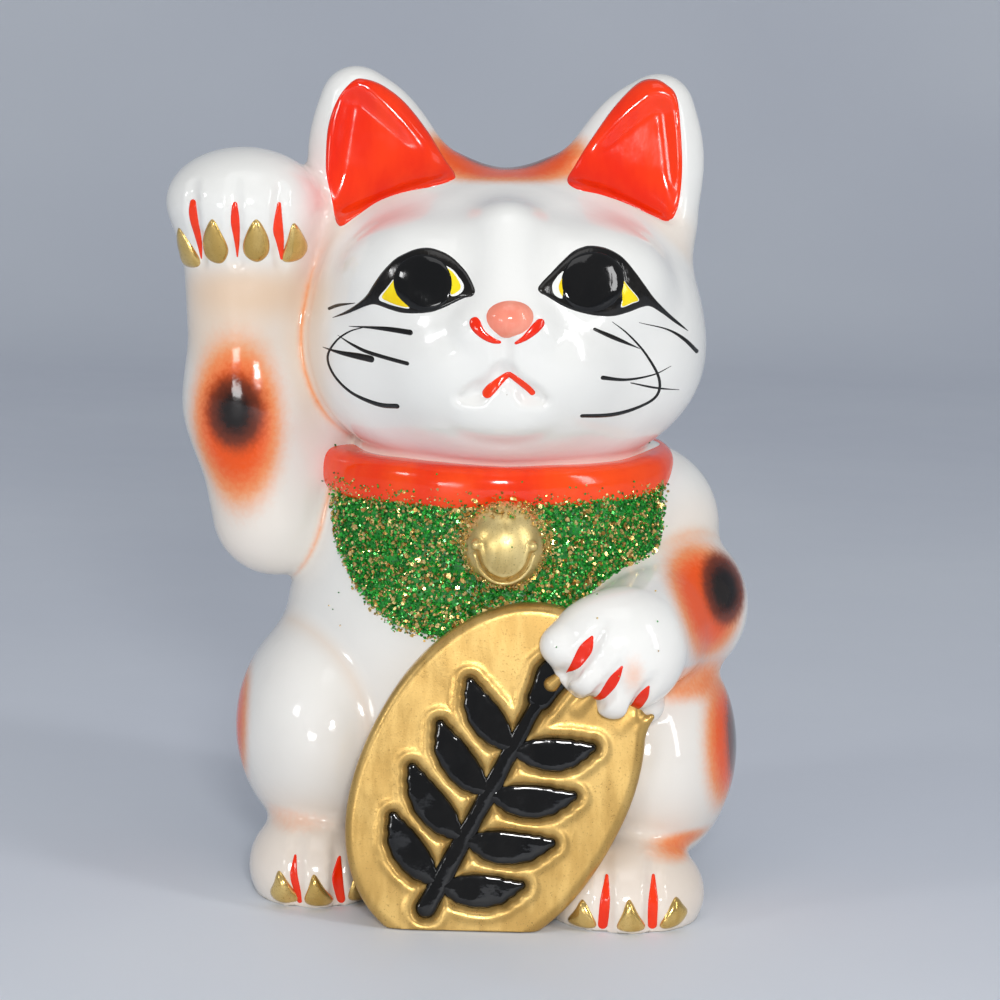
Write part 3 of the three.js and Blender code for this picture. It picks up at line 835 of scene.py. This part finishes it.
EYES = {
    "right_eye": dict(
        centre=(-19, 137),
        lid=[
            (-6.4, 136.3), (-7.9, 139.1), (-9.6, 140.9), (-11.8, 142.6), (-14.2, 143.6), (-16.5, 144),
            (-18.8, 143.7), (-21, 142.8), (-23.5, 141.3), (-26, 138.6), (-27.8, 135.9), (-29.4, 133.2),
            (-31.4, 131.1), (-34, 129), (-37, 127), (-34, 128.3), (-31.4, 129.8), (-29.4, 130.9),
            (-27.4, 131.5), (-24.2, 130.8), (-21.8, 130.4), (-18.9, 130.5), (-15.7, 131), (-13.1, 132),
            (-10.5, 133.4), (-8.4, 134.5), (-6.9, 135)],
        pupil=((-17.3, 136.9), (6.6, 5.9)),
        whites=[
            [(-13.4, 141.2), (-11.2, 140.2), (-9.7, 138.7), (-8.3, 136.8), (-8.8, 135), (-11.3, 134),
             (-11.6, 136), (-12, 138), (-12.8, 139.8)],
            [(-22.6, 139.1), (-25.1, 135.8), (-27.2, 132.8), (-25.2, 131.8), (-22.2, 131.2),
             (-19.5, 131.1), (-21.4, 132.9), (-22.7, 134.3), (-23, 136)]],
        yellows=[
            [(-12.7, 140.6), (-11.3, 139.8), (-10, 138.4), (-9, 136.7), (-9.2, 135.5), (-11.2, 134.3),
             (-11.6, 136), (-12, 138), (-12.5, 139.5)],
            [(-22.5, 138.9), (-24.8, 135.8), (-26.4, 133.2), (-24.8, 132.2), (-22, 131.4), (-19.7, 131.3),
             (-21.4, 132.9), (-22.7, 134.3), (-23, 136)]]),
    "left_eye": dict(
        centre=(26, 138),
        lid=[
            (6.9, 137.2), (9.4, 139.8), (11.8, 142.2), (13.9, 144), (15.9, 144.9), (17.8, 145.2),
            (20.7, 144.8), (23.4, 143.6), (25.3, 142.1), (27.5, 139.5), (29.6, 136.7), (31.5, 134.1),
            (33.9, 131.4), (36.6, 128.6), (39.6, 125.7), (36.6, 127.8), (33.6, 130.3), (30.9, 132.2),
            (29, 132.3), (26.4, 131.5), (23.2, 130.8), (20, 130.9), (16.8, 131.5), (13.6, 132.5),
            (10.9, 133.8), (8.5, 135.3), (7.2, 136)],
        pupil=((18.2, 137.9), (7, 6.3)),
        whites=[
            [(13.5, 141.3), (11.4, 140), (10.2, 138.7), (9.4, 137.2), (9.9, 135.3), (11.9, 134.2),
             (11.9, 136), (11.9, 137.5), (12.3, 139)],
            [(23.2, 140.2), (25.9, 137.2), (28.6, 133.8), (27, 132.9), (24.2, 132.1), (24.4, 134.3),
             (24.1, 137)]],
        yellows=[
            [(12.9, 140.3), (11.9, 139.2), (11.1, 137.8), (10.9, 136.6), (11.3, 135.3), (11.9, 134.6),
             (12, 136), (12, 137.5), (12.3, 139)],
            [(23.4, 140), (25.9, 136.9), (28.4, 133.8), (26.9, 133.1), (24.4, 132.3), (24.4, 134.3),
             (24.1, 137)]]),
}
for name, eye in EYES.items():
    lid = patch(eye["lid"], FILM["lid"], 0.1, head_only, 14, 200, centre=eye["centre"])
    piece(name + "_lids", *lid, LID, "black_enamel", [name])
    whites = joined(*[patch(outline, FILM["white"], 0, head_only, 5, 64) for outline in eye["whites"]])
    piece(name + "_whites", *whites, EYE_WHITE, "white_glaze")
    yellows = joined(*[patch(outline, FILM["yellow"], 0, head_only, 5, 64) for outline in eye["yellows"]])
    piece(name + "_yellow", *yellows, YELLOW, "gold_paint")
    pupil = patch(disc(*eye["pupil"]), FILM["pupil"], 0.5, head_only, 12, 96)
    piece(name + "_pupil", *pupil, BLACK, "black_enamel")

WHISKERS = {
    "right": [
        ([(-33.2, 125.9), (-28.4, 126.4), (-24, 126.6), (-19.2, 126.5)], (0.1, 0.5, 0.9, 1)),
        ([(-35.6, 123.6), (-32, 122), (-28.2, 120.9), (-19.8, 120)], (0.1, 0.5, 0.7, 0.75)),
        ([(-39, 120.4), (-35.2, 120), (-31, 119.8), (-27.4, 119.6)], (0.1, 0.7, 1.2, 1.3)),
        ([(-29.6, 126.3), (-33, 124.8), (-36, 122.2), (-37.8, 118.5), (-36.3, 114.7), (-32.3, 111.4),
          (-26.5, 109.7), (-21.8, 110.1)], (0.15, 0.3, 0.35, 0.45, 0.5, 0.6, 0.9, 1)),
        ([(-38, 128.6), (-35.5, 130), (-31.8, 131.2)], (0.5, 0.55, 0.1))],
    "left": [
        ([(18.6, 128.4), (23.5, 126), (28.8, 123.3)], (0.5, 0.75, 0.1)),
        ([(22.6, 129.6), (26, 126.8), (30, 122.2), (33.2, 116.6), (33, 112.6), (29.4, 110.4),
          (23.7, 109.2), (16.4, 109.7)], (0.1, 0.3, 0.4, 0.5, 0.55, 0.6, 0.8, 0.7)),
        ([(20.5, 118.1), (26.2, 116.9), (31.9, 117.3), (35.9, 118.8)], (0.8, 0.5, 0.3, 0.1)),
        ([(27, 116.1), (32, 114.5), (38, 113.1)], (0.2, 0.4, 0.1)),
        ([(28.4, 129), (34.5, 126.9), (38.6, 124.2), (42, 120.6)], (0.1, 0.3, 0.6, 0.7))],
}
for side, lines in WHISKERS.items():
    whiskers = strokes(lines, FILM["whisker"], head_only, BRUSH)
    piece(side + "_whiskers", *whiskers, LID, "black_enamel")

MOUTH = [
    ([(1.4, 119.2), (-0.6, 117.6), (-2.6, 115.6), (-3.9, 113.9)], (1.1, 1.6, 2.2, 1.7)),
    ([(0.9, 119.2), (3, 117.8), (5, 116.2), (6.6, 114.6)], (1.1, 1.3, 1.4, 1.2))]
NOSTRILS = [
    ([(-6.2, 131), (-6, 129.4), (-4.6, 127.6), (-2.4, 126.3), (-0.6, 125.8)], (2, 2.4, 1.7, 1.2, 0.5)),
    ([(8, 130.7), (6.4, 129), (4.4, 127.1), (2.2, 125.7)], (1.8, 2, 1.3, 0.5))]
piece("mouth_strokes", *strokes(MOUTH, FILM["stroke"], head_only), RED, "red_glaze")
piece("nostril_strokes", *strokes(NOSTRILS, FILM["nostril"], head_only), RED, "red_glaze")

nose_field = ellipsoid((0.9, -45.9, 130.5), (5.8, 4.9, 4.4))
piece("nose_ball", *surface(nose_field, (-5, -52, 125), (7, -41, 136), 0.45), PINK, "pink_glaze", ["nose"])

EAR_LININGS = {
    "right_ear_lining": [
        (-34.1, 176.5), (-37.2, 172.9), (-39.3, 167.2), (-39.8, 160.5), (-39.4, 152.6), (-37.8, 147.8),
        (-36.2, 145.4), (-32.9, 147.6), (-27.9, 151.2), (-22.3, 153.4), (-16.6, 154.8), (-12.2, 156.2),
        (-11.6, 157.4), (-14.1, 160.4), (-18.3, 166.5), (-23, 172), (-27.6, 175.4), (-31.4, 176.8)],
    "left_ear_lining": [
        (30.9, 178.4), (27.4, 177.2), (22.5, 172.1), (17.5, 164.8), (14.4, 159.7), (12.7, 156.8),
        (14.6, 155.2), (20, 154), (25.7, 152.1), (30.8, 149.8), (35, 148.2), (37, 151), (37.7, 158.4),
        (37.2, 166.9), (36.1, 174.6), (33.7, 177.4)],
}
for name, outline in EAR_LININGS.items():
    lining = patch(outline, FILM["lining"], 0.1, head_only, 26, 160, rounding=0.05)
    piece(name + "_glaze", *lining, RED, "red_glaze", [name])

# ---------- claws and the strokes between them ----------
CLAWS = {
    "raised_paw_claw": [
        [(-71, 144.3), (-71.6, 141.6), (-71, 138.4), (-70, 135.7), (-66.8, 136), (-66.3, 137.8), (-69, 142)],
        [(-63.3, 147.1), (-65.2, 143.4), (-65.2, 139.4), (-63.6, 137.6), (-61.1, 137.5), (-59.8, 140.4),
         (-61.4, 144.4)],
        [(-53.8, 147.4), (-56.4, 142.9), (-56.4, 139.6), (-53.6, 137.9), (-51.2, 139.8), (-51.3, 143.6)],
        [(-45.8, 146.4), (-47.4, 142.4), (-48.5, 138.6), (-47.2, 137.6), (-44.2, 138.4), (-43.2, 141.4)]],
    "right_foot_claw": [
        [(-45.6, 8.1), (-46.8, 5.2), (-47.6, 2.6), (-46, 0.9), (-42.6, 0.9), (-41.2, 2), (-43, 5)],
        [(-38, 8.1), (-39.2, 5), (-40, 2), (-38.4, 0.8), (-35, 0.8), (-33.8, 2), (-35.8, 5.2)],
        [(-28.8, 8.2), (-30, 5), (-30.6, 2), (-29, 0.8), (-26.4, 0.8), (-25.6, 2), (-27, 5.2)]],
    "left_foot_claw": [
        [(19.8, 7), (18.2, 4.4), (16.8, 1.6), (18.4, 0.7), (21.4, 0.7), (22.9, 1.6), (21.6, 4.6)],
        [(29.6, 8), (28.2, 4.8), (27.2, 1.8), (28.8, 0.8), (31.8, 0.8), (33.3, 1.8), (31.6, 5)],
        [(39.6, 7.7), (37.8, 4.6), (36.4, 1.8), (37.8, 0.8), (40.6, 1.4), (42.4, 3.8), (41.4, 5.8)]],
}
for stem, outlines in CLAWS.items():
    for number, outline in enumerate(outlines, 1):
        claw = patch(outline, FILM["claw"], 0.75, skin, 10, 60, rounding=0.25)
        piece(f"{stem}_{number}_gilt", *claw, CLAW_GOLD, "gold_paint", [f"{stem}_{number}"])

TOE_STROKES = {
    "raised_paw_strokes": [
        ([(-67.6, 151), (-67.5, 147.5), (-66.4, 142), (-65.9, 137.8)], (1.2, 1.9, 1.3, 0.3)),
        ([(-58.4, 151), (-58.3, 147), (-58, 143), (-57.9, 138.8)], (1, 1.9, 1.3, 0.3)),
        ([(-49, 151), (-49.2, 145.4), (-48.8, 142), (-48.5, 138.2)], (0.7, 2.1, 1.6, 0.5))],
    "right_foot_strokes": [
        ([(-42.2, 11.6), (-42.4, 7.6), (-41.6, 4), (-41, 0.9)], (0.5, 1.6, 1.5, 1)),
        ([(-32.7, 11.3), (-33, 7.4), (-32.6, 4), (-32, 0.8)], (0.6, 2.2, 2.1, 1.7))],
    "left_foot_strokes": [
        ([(24.9, 12.2), (24.6, 7.6), (24.4, 4), (24.2, 0.7)], (0.6, 2, 2.2, 2)),
        ([(34.8, 12.3), (34.8, 7.8), (34.8, 4), (34.9, 0.9)], (0.6, 2, 2.1, 1.9))],
    "lowered_paw_strokes": [
        ([(20.2, 64.9), (18.9, 62.2), (17, 58.8), (14.9, 55.8)], (0.5, 2.7, 2.1, 0.1)),
        ([(26.6, 59), (24.8, 55.6), (22.6, 51.8), (20.2, 49)], (0.4, 2.2, 1.5, 0.1)),
        ([(32.4, 54.3), (31.2, 51.6), (29.6, 48.2), (27.9, 45)], (0.4, 2.3, 1.9, 0.1))],
}
for name, lines in TOE_STROKES.items():
    piece(name, *strokes(lines, FILM["stroke"]), RED, "red_glaze")


# ---------- collar, bell and glitter ----------
def ripple(points, scale, seed):
    """A smooth wandering value between about -1 and 1, the same on every run."""
    turn = np.random.default_rng(seed).normal(size=(6, 3)) / scale
    shift = np.arange(6) * 1.7 + seed
    return np.sin(points @ turn.T + shift).sum(1) / 3


def collar_field(p):
    """A band round the neck, with a rounded face and a wavering edge."""
    middle = np.array(COLLAR["middle"])
    q = p - middle
    q[:, 2] -= 0.25 * ripple(p, 16, 3)
    scale = COLLAR["half_depth"] / COLLAR["half_width"]
    radius = np.sqrt((q[:, 0] * scale) ** 2 + q[:, 1] ** 2)
    across = radius - COLLAR["half_depth"]
    across /= np.where(across > 0, COLLAR["half_thickness"], COLLAR["inward"])
    along = q[:, 2] / COLLAR["half_height"]
    power = COLLAR["squareness"]
    reach = (np.abs(across) ** power + np.abs(along) ** power) ** (1 / power)
    return (reach - 1) * COLLAR["half_thickness"] * 0.9 + 0.08 * ripple(p, 5, 8)


reach = np.array((COLLAR["half_width"] + 5, COLLAR["half_depth"] + 5, COLLAR["half_height"] + 1))
collar = surface_around(collar_field, COLLAR["middle"], reach, 2 * RELIEF)
piece("collar_band", *collar, ORANGE_RED, "red_glaze", ["collar"])


def bell_field():
    """A ball with a raised smile-shaped slit that ends in two studs."""
    centre, radius = np.array(BELL["centre"], float), BELL["radius"]

    def on_ball(across, up):
        depth = np.sqrt(radius ** 2 - across ** 2 - up ** 2)
        return centre + (across, -depth, up)
    ball = ellipsoid(centre, (radius, radius * 0.94, radius))
    half_smile = [(5.6, -0.6), (4.6, -3.6), (2.6, -5.7)]
    line = curve([(-across, up) for across, up in half_smile] + [(0, -6.5)] + half_smile[::-1], 26)
    points = np.array([on_ball(across, up) for across, up in line])
    studs = [ellipsoid(on_ball(side * 6, 0.9), (1.15, 1.15, 1.15)) for side in (-1, 1)]

    def rail(p, offset):
        inward = centre + (0, -radius * 0.7, 2.2)
        away = unit(points - inward) * offset
        best = np.full(len(p), 1e9)
        for a, b in zip((points + away)[:-1], (points + away)[1:]):
            best = np.minimum(best, limb(a, 0.42, b, 0.42)(p))
        return best

    def field(p):
        body = ball(p)
        for offset in (-0.8, 0.8):
            body = smooth_min(body, rail(p, offset), 0.6)
        for stud in studs:
            body = smooth_min(body, stud(p), 0.6)
        body = -smooth_min(-body, rail(p, 0) - 0.02, 0.3)
        return body + 0.02 * ripple(p, 3.5, 5)
    return field


bell = surface_around(bell_field(), BELL["centre"], BELL["radius"] + 1.6, RELIEF * 0.8)
piece("bell_gilt", *bell, HIGHLIGHT_GOLD, "gold_paint", ["bell"])

BIB_OUTLINE = [
    (-35.4, 91), (-36, 86), (-34.9, 79), (-32.6, 73), (-29.2, 68), (-25, 64.2), (-19.4, 61.6),
    (-12, 60.4), (-4, 60), (4, 60), (12, 60.6), (19, 62.4), (24.6, 65), (29.4, 69.5), (33.2, 76),
    (35, 84), (34.4, 91), (24, 91), (12, 90), (0, 89.5), (-12, 90), (-24, 91)]
chest = blend(8, members["torso"], members["head"])
points, faces = patch(BIB_OUTLINE, FILM["bib"], 0.3, chest, 40, 200, rounding=0.05)
points = points + np.array((0, -0.22, 0)) * ripple(points, 1.6, 4)[:, None]
piece("bib_bed", points, faces, GREEN_BASE, "glitter", ["bib"])


def flakes(centres, normals, sizes, generator):
    """A thin closed flake of six corners on each point. Gives points, faces and a shade per point."""
    lift, tilt = 0.15, 0.55
    count = len(centres)
    facing = unit(normals + generator.normal(0, tilt, (count, 3)))
    along = unit(np.cross(facing, generator.normal(size=(count, 3))))
    beside = np.cross(facing, along)
    angle = np.arange(6) * pi / 3
    reach = sizes[:, None] / 2 * generator.uniform(0.65, 1.2, (count, 6))
    edge = along[:, None] * np.cos(angle)[None, :, None] + beside[:, None] * np.sin(angle)[None, :, None]
    edge *= reach[..., None]
    thick = (0.13 * sizes + 0.03)[:, None, None] * facing[:, None]
    ring = centres[:, None] + normals[:, None] * lift + edge
    points = np.concatenate([ring + thick, ring - thick], 1)
    side = np.array([[i, i + 6, (i + 1) % 6 + 6, (i + 1) % 6] for i in range(6)])
    lids = np.array([[0, 1, 2, 3], [0, 3, 4, 5]])
    faces = np.concatenate([lids, lids[:, ::-1] + 6, side])
    faces = (faces[None] + np.arange(count)[:, None, None] * 12).reshape(-1, 4)
    return points.reshape(-1, 3), faces, np.repeat(generator.uniform(0, 1, count), 12)


def inside(plan, outline):
    """Which points of the plan are within the outline."""
    edge = curve(outline, 160, closed=True)
    after = np.roll(edge, -1, 0)
    x, z = plan[:, 0, None], plan[:, 1, None]
    rises = (edge[:, 1] > z) != (after[:, 1] > z)
    run, climb = (after - edge).T
    meets = edge[:, 0] + (z - edge[:, 1]) / np.where(climb == 0, 1e-9, climb) * run
    return (rises & (x < meets)).sum(1) % 2 == 1


def strewn(plan):
    """The foremost points of the cat, collar or bell at these x and z, with the normals there."""
    cover = blend(0.1, skin, collar_field, ellipsoid(BELL["centre"], (BELL["radius"],) * 3))
    points = front(plan, cover)
    return points, unit(slope(cover, points))


random = np.random.default_rng(17)
plan = random.uniform((-38, 60), (38, 91), (FLAKES * 2, 2))
plan = plan[inside(plan, BIB_OUTLINE)][:FLAKES]
spots = front(plan, chest)
spot_normals = unit(slope(chest, spots))
spots += spot_normals * random.uniform(0.95, 1.5, len(spots))[:, None]

# strays along the bib's edge, then on the collar, round the bell and all over the chest
edge = curve(BIB_OUTLINE, 400, closed=True)
scatter = random.normal(0, 1, (FLAKES // 9, 2)) * (0.55, 0.5)
stray = edge[random.integers(0, len(edge), len(scatter))] + scatter
stray += random.exponential(0.35, stray.shape) * (0, -1)
across = random.uniform(-37, 36, FLAKES // 55)
on_collar = np.stack([across, 88.2 + random.exponential(1.5, len(across))], 1)
angle = random.uniform(0, 2 * pi, FLAKES // 24)
from_bell = random.normal(BELL["radius"] - 0.2, 0.45, len(angle))[:, None]
bell_middle = np.array(BELL["centre"])[[0, 2]]
round_bell = bell_middle + np.stack([np.cos(angle), np.sin(angle)], 1) * from_bell
dust = random.uniform((-40, 56), (36, 92), (FLAKES // 220, 2))
clear_of_paw = (stray[:, 0] < 5) | (stray[:, 1] > 79)
mostly_below_collar = (stray[:, 1] < 87) | (random.uniform(0, 1, len(stray)) < 0.3)
stray = stray[clear_of_paw & mostly_below_collar]
stray_spots, stray_normals = strewn(np.concatenate([stray, on_collar, round_bell, dust]))

every_spot = np.concatenate([spots, stray_spots])
every_normal = np.concatenate([spot_normals, stray_normals])
loose = np.arange(len(every_spot)) >= len(spots)
near_bell = np.hypot(*(every_spot[:, [0, 2]] - bell_middle).T) < BELL["radius"] + 1.2
gold_share = np.where(near_bell, 0.75, np.where(loose, 0.5, 0.27))
golden = random.uniform(0, 1, len(every_spot)) < gold_share
big = random.uniform(0, 1, len(every_spot)) ** 3
gold_size, green_size, loose_scale = 0.52 + 0.8 * big, 0.48 + 0.45 * big, 0.72
sizes = np.where(golden, gold_size, green_size) * np.where(loose, loose_scale, 1)
for name, chosen, material in (("green_flakes", ~golden, GREEN_FLAKE), ("gold_flakes", golden, GOLD_FLAKE)):
    points, faces, shade = flakes(every_spot[chosen], every_normal[chosen], sizes[chosen], random)
    made = piece(name, points, faces, material, "glitter", marks=dict(shade=shade))
    made.data.shade_flat()


# ---------- the plaque ----------
def plaque_axes():
    lean, tilt = radians(PLAQUE["lean"]), radians(PLAQUE["tilt"])
    level = np.array([[1, 0, 0], [0, cos(lean), -sin(lean)], [0, sin(lean), cos(lean)]])
    roll = np.array([[cos(tilt), 0, -sin(tilt)], [0, 1, 0], [sin(tilt), 0, cos(tilt)]])
    return roll @ level


AXES = plaque_axes()


def on_plaque(p):
    """Across, up and out of the plaque's face."""
    q = (p - np.array(PLAQUE["centre"], float)) @ AXES.T
    return q[:, 0], q[:, 2], -q[:, 1]


def segment(u, v, a, b, wide_a, wide_b):
    """How far points of the face are from a tapered line."""
    along = np.array(b, float) - a
    share = np.clip(((u - a[0]) * along[0] + (v - a[1]) * along[1]) / (along @ along), 0, 1)
    away = np.hypot(u - a[0] - share * along[0], v - a[1] - share * along[1])
    return away - (wide_a + share * (wide_b - wide_a))


def leaf_line(side, number):
    """The bent midline and half widths of one leaf of the spray."""
    base = -24.5 + CHANNEL["pitch"] * number
    spread = 16 - 1.3 * abs(number - 1.2)
    line = [(side * 1.5, base - 0.5), (side * spread * 0.4, base + 0.9), (side * spread * 0.75, base + 3.4),
            (side * (spread + 1), base + 7.4)]
    wide = CHANNEL["leaf"]
    return curve(line, 8), curve([(w, 0) for w in (1.8, wide, wide, 1.4)], 8)[:, 0]


def leaf_shape(side, number):
    line, wide = leaf_line(side, number)
    parts = list(zip(line, line[1:], wide, wide[1:]))

    def shape(u, v):
        return np.min([segment(u, v, *part) for part in parts], axis=0)
    return shape


def stem_shape(u, v):
    return segment(u, v, *STEM, CHANNEL["stem"], CHANNEL["stem"] * 0.8)


def bud_shape(u, v):
    low, middle, high = BUD
    return smooth_min(segment(u, v, low, middle, 3, 3.6), segment(u, v, middle, high, 3.2, 0.8), 2)


# each inlay's shape on the face and a line through it
STEM = [(0, -31), (0, 18.5)]
BUD = [(0, 20), (0, 25.5), (0, 32)]
INLAYS = {"enamel_stem": (stem_shape, STEM), "enamel_bud": (bud_shape, BUD)}
for number in range(CHANNEL["pairs"]):
    for side, word in ((-1, "right"), (1, "left")):
        INLAYS[f"enamel_leaf_{word}_{number + 1}"] = leaf_shape(side, number), leaf_line(side, number)[0]


def drawing(u, v):
    """How far points of the face are from the whole spray."""
    total = np.full(len(u), 1e3)
    for shape, _ in INLAYS.values():
        total = smooth_min(total, shape(u, v), 1.2)
    return total


def slab(u, v, w):
    """How far points are outside the plaque's outline, and outside its two faces."""
    half_width, half_length, power = PLAQUE["half_width"], PLAQUE["half_length"], PLAQUE["power"]
    across, along = np.abs(u / half_width), np.abs(v / half_length)
    reach = np.maximum(across ** power + along ** power, 1e-9) ** (1 / power)
    steepness = np.hypot(across ** (power - 1) / half_width, along ** (power - 1) / half_length)
    rim = (reach - 1) * reach ** (power - 1) / np.maximum(steepness, 1e-6)
    return rim, np.abs(w + PLAQUE["thickness"] / 2) - PLAQUE["thickness"] / 2


def gilt_between_fingers():
    """Small points of gilding that reach up between the fingers of the lowered paw."""
    plan = np.array([(13.6, 54.2), (18.8, 47.6), (26.6, 43.6), (32.4, 45)])
    cusps = front(plan, members["lowered_arm"]) + (0, 2.4, 0)
    cusps[:, 1] = np.clip(cusps[:, 1], -53, -46)
    tapers = [limb(cusp + (-1.6, 0.8, -1.6), 1.7, cusp + (0.9, 0, 1.2), 0.7) for cusp in cusps]
    return blend(0.5, *[bounded(taper, cusp - 3, cusp + 3) for taper, cusp in zip(tapers, cusps)])


cusp_field = gilt_between_fingers()


def rounded(a, b, radius):
    """Where two faces meet, with their edge rounded."""
    return np.minimum(np.maximum(a, b), 0) + np.hypot(np.maximum(a, 0), np.maximum(b, 0)) - radius


def plaque_field(p):
    """The slab with the channels sunk into its face and a lip of gold along their edges."""
    u, v, w = on_plaque(p)
    away = drawing(u, v)
    wander = 0.14 * ripple(p, 5, 21) + 0.05 * ripple(p, 1.3, 22)
    wall = np.clip((0.9 - away - wander) / 2.0, 0, 1)
    lip = 0.3 * np.exp(-((away - 1.7 + wander) / 0.8) ** 2)
    relief = lip - (CHANNEL["depth"] + 0.3) * wall * wall * (3 - 2 * wall)
    rim, thick = slab(u, v, w - (relief + 0.04 * ripple(p, 5, 23)) * (w > -4))
    rounding = PLAQUE["rounding"]
    outer = rounded(rim + rounding + 0.12 * ripple(p, 9, 24), thick + rounding, rounding)
    outer = smooth_min(outer, cusp_field(p), 1.2)
    return np.maximum(outer, 0.25 - p[:, 2]) * 0.8


def inlay_field(shape, seed):
    """Enamel poured into a channel, with a lower surface near its edge."""
    rounding = 0.4

    def field(p):
        u, v, w = on_plaque(p)
        edge = shape(u, v) + 0.28 + 0.13 * ripple(p, 2.6, seed) + 0.04 * ripple(p, 0.9, seed + 1)
        meniscus = 0.35 * np.exp(-np.clip(-edge, 0, 9) / 0.5)
        pool = -CHANNEL["depth"] + 1.05 - meniscus + 0.05 * ripple(p, 2, 41)
        body = rounded(edge + rounding, w - pool + rounding, rounding)
        bottom = -CHANNEL["depth"] - 0.8 - w
        return np.maximum(np.maximum(body, bottom), 0.3 - p[:, 2]) * 0.8
    return field


def plaque_point(u, v, w):
    return np.array(PLAQUE["centre"]) + np.array((u, -w, v)) @ AXES


middle, reach = np.array(PLAQUE["centre"], float), np.array((36, 12, 40))
low, high = middle - reach, middle + reach
low[2] = -0.5    # just under the floor
plaque = surface(plaque_field, low, high, RELIEF, 1)
piece("plaque_gilt", *plaque, GOLD, "gold_paint", ["plaque"])
for seed, (name, (shape, line)) in enumerate(INLAYS.items(), 50):
    corners = np.array([plaque_point(u, v, -1.5) for u, v in line])
    inlay = surface(inlay_field(shape, seed), corners.min(0) - 5, corners.max(0) + 5, RELIEF, 1)
    piece(name + "_fill", *inlay, BLACK, "black_enamel", [name])


# ---------- the skin, last because it takes longest ----------
build_skin()


# ---------- floor, light and camera ----------
def stage_material():
    made = Material("pale_floor", Specular_IOR_Level=0.3)
    patches = made.remap(made.noise(3), 0.35, 0.65)
    made.put("Base Color", made.mix(patches, colour(216, 221, 230), colour(224, 229, 236)))
    made.put("Roughness", made.remap(made.noise(40, 3), 0.3, 0.7, 0.5, 0.62))
    made.put("Normal", made.bump(made.noise(350, 3), 0.0001, 0.2))
    return made.data


def sweep():
    """A floor that curves up into a backdrop."""
    near, back, top, bend, half_width = -1.5, 1.3, 2.2, 0.5, 2.5
    profile = [(near, 0), (back - bend, 0)]
    for turn in np.linspace(0, pi / 2, 24)[1:]:
        profile.append((back - bend + bend * sin(turn), bend - bend * cos(turn)))
    profile.append((back, top))
    points = [(ORIGIN[0] / 1000 + x, y, z) for y, z in profile for x in (-half_width, half_width)]
    faces = [(2 * i, 2 * i + 1, 2 * i + 3, 2 * i + 2) for i in range(len(profile) - 1)]
    mesh = bpy.data.meshes.new("floor")
    mesh.from_pydata(points, [], faces)
    mesh.shade_smooth()
    mesh.materials.append(stage_material())
    made = bpy.data.objects.new("floor", mesh)
    bpy.context.scene.collection.objects.link(made)


def softbox(name, azimuth, elevation, distance, width, height, power):
    """An area light towards the collar. Azimuth 0 is the front and 90 the cat's left."""
    light = bpy.data.lights.new(name, "AREA")
    light.shape = "RECTANGLE"
    light.size = width
    light.size_y = height
    light.energy = power
    made = bpy.data.objects.new(name, light)
    azimuth, elevation = radians(azimuth), radians(elevation)
    away = Vector((sin(azimuth) * cos(elevation), -cos(azimuth) * cos(elevation), sin(elevation)))
    made.location = Vector(placed((0, 0, 95))) + away * distance
    made.rotation_euler = away.to_track_quat("Z", "Y").to_euler()
    bpy.context.scene.collection.objects.link(made)


sweep()
# azimuth and elevation in degrees, then distance, width and height in metres, and power in watts
softbox("key", 58, 22, 1.1, 0.12, 0.7, 2.9)
softbox("flash", 4, 16, 1.0, 0.13, 0.13, 3.8)
softbox("low", -28, 3, 1.3, 0.3, 0.15, 1.8)
softbox("fill", -58, 22, 1.3, 0.16, 0.16, 1.6)
softbox("overhead", 0, 75, 1.2, 0.6, 0.6, 1.4)
world = bpy.data.worlds.new("room")
bpy.context.scene.world = world
world.use_nodes = True
sky = world.node_tree.nodes["Background"]
sky.inputs["Color"].default_value = colour(226, 230, 238)
sky.inputs["Strength"].default_value = 0.4

# the camera's target, distance and lens in millimetres, and its elevation and roll in degrees
CAMERA = dict(target=(0, 0, 84), distance=855, elevation=10, roll=1.5, lens=138.35)
elevation, roll = radians(CAMERA["elevation"]), radians(CAMERA["roll"])
ahead = Vector((0, cos(elevation), -sin(elevation)))
right, up = Vector((1, 0, 0)), Vector((0, sin(elevation), cos(elevation)))
right, up = right * cos(roll) + up * sin(roll), up * cos(roll) - right * sin(roll)
lens = bpy.data.cameras.new("camera")
lens.lens = CAMERA["lens"]
lens.sensor_width = 36
camera = bpy.data.objects.new("camera", lens)
turn = Matrix((right, up, -ahead)).transposed().to_4x4()
place = Vector(placed(CAMERA["target"])) - ahead * CAMERA["distance"] / 1000
camera.matrix_world = Matrix.Translation(place) @ turn
bpy.context.scene.collection.objects.link(camera)
bpy.context.scene.camera = camera
bpy.context.scene.view_settings.view_transform = "Standard"
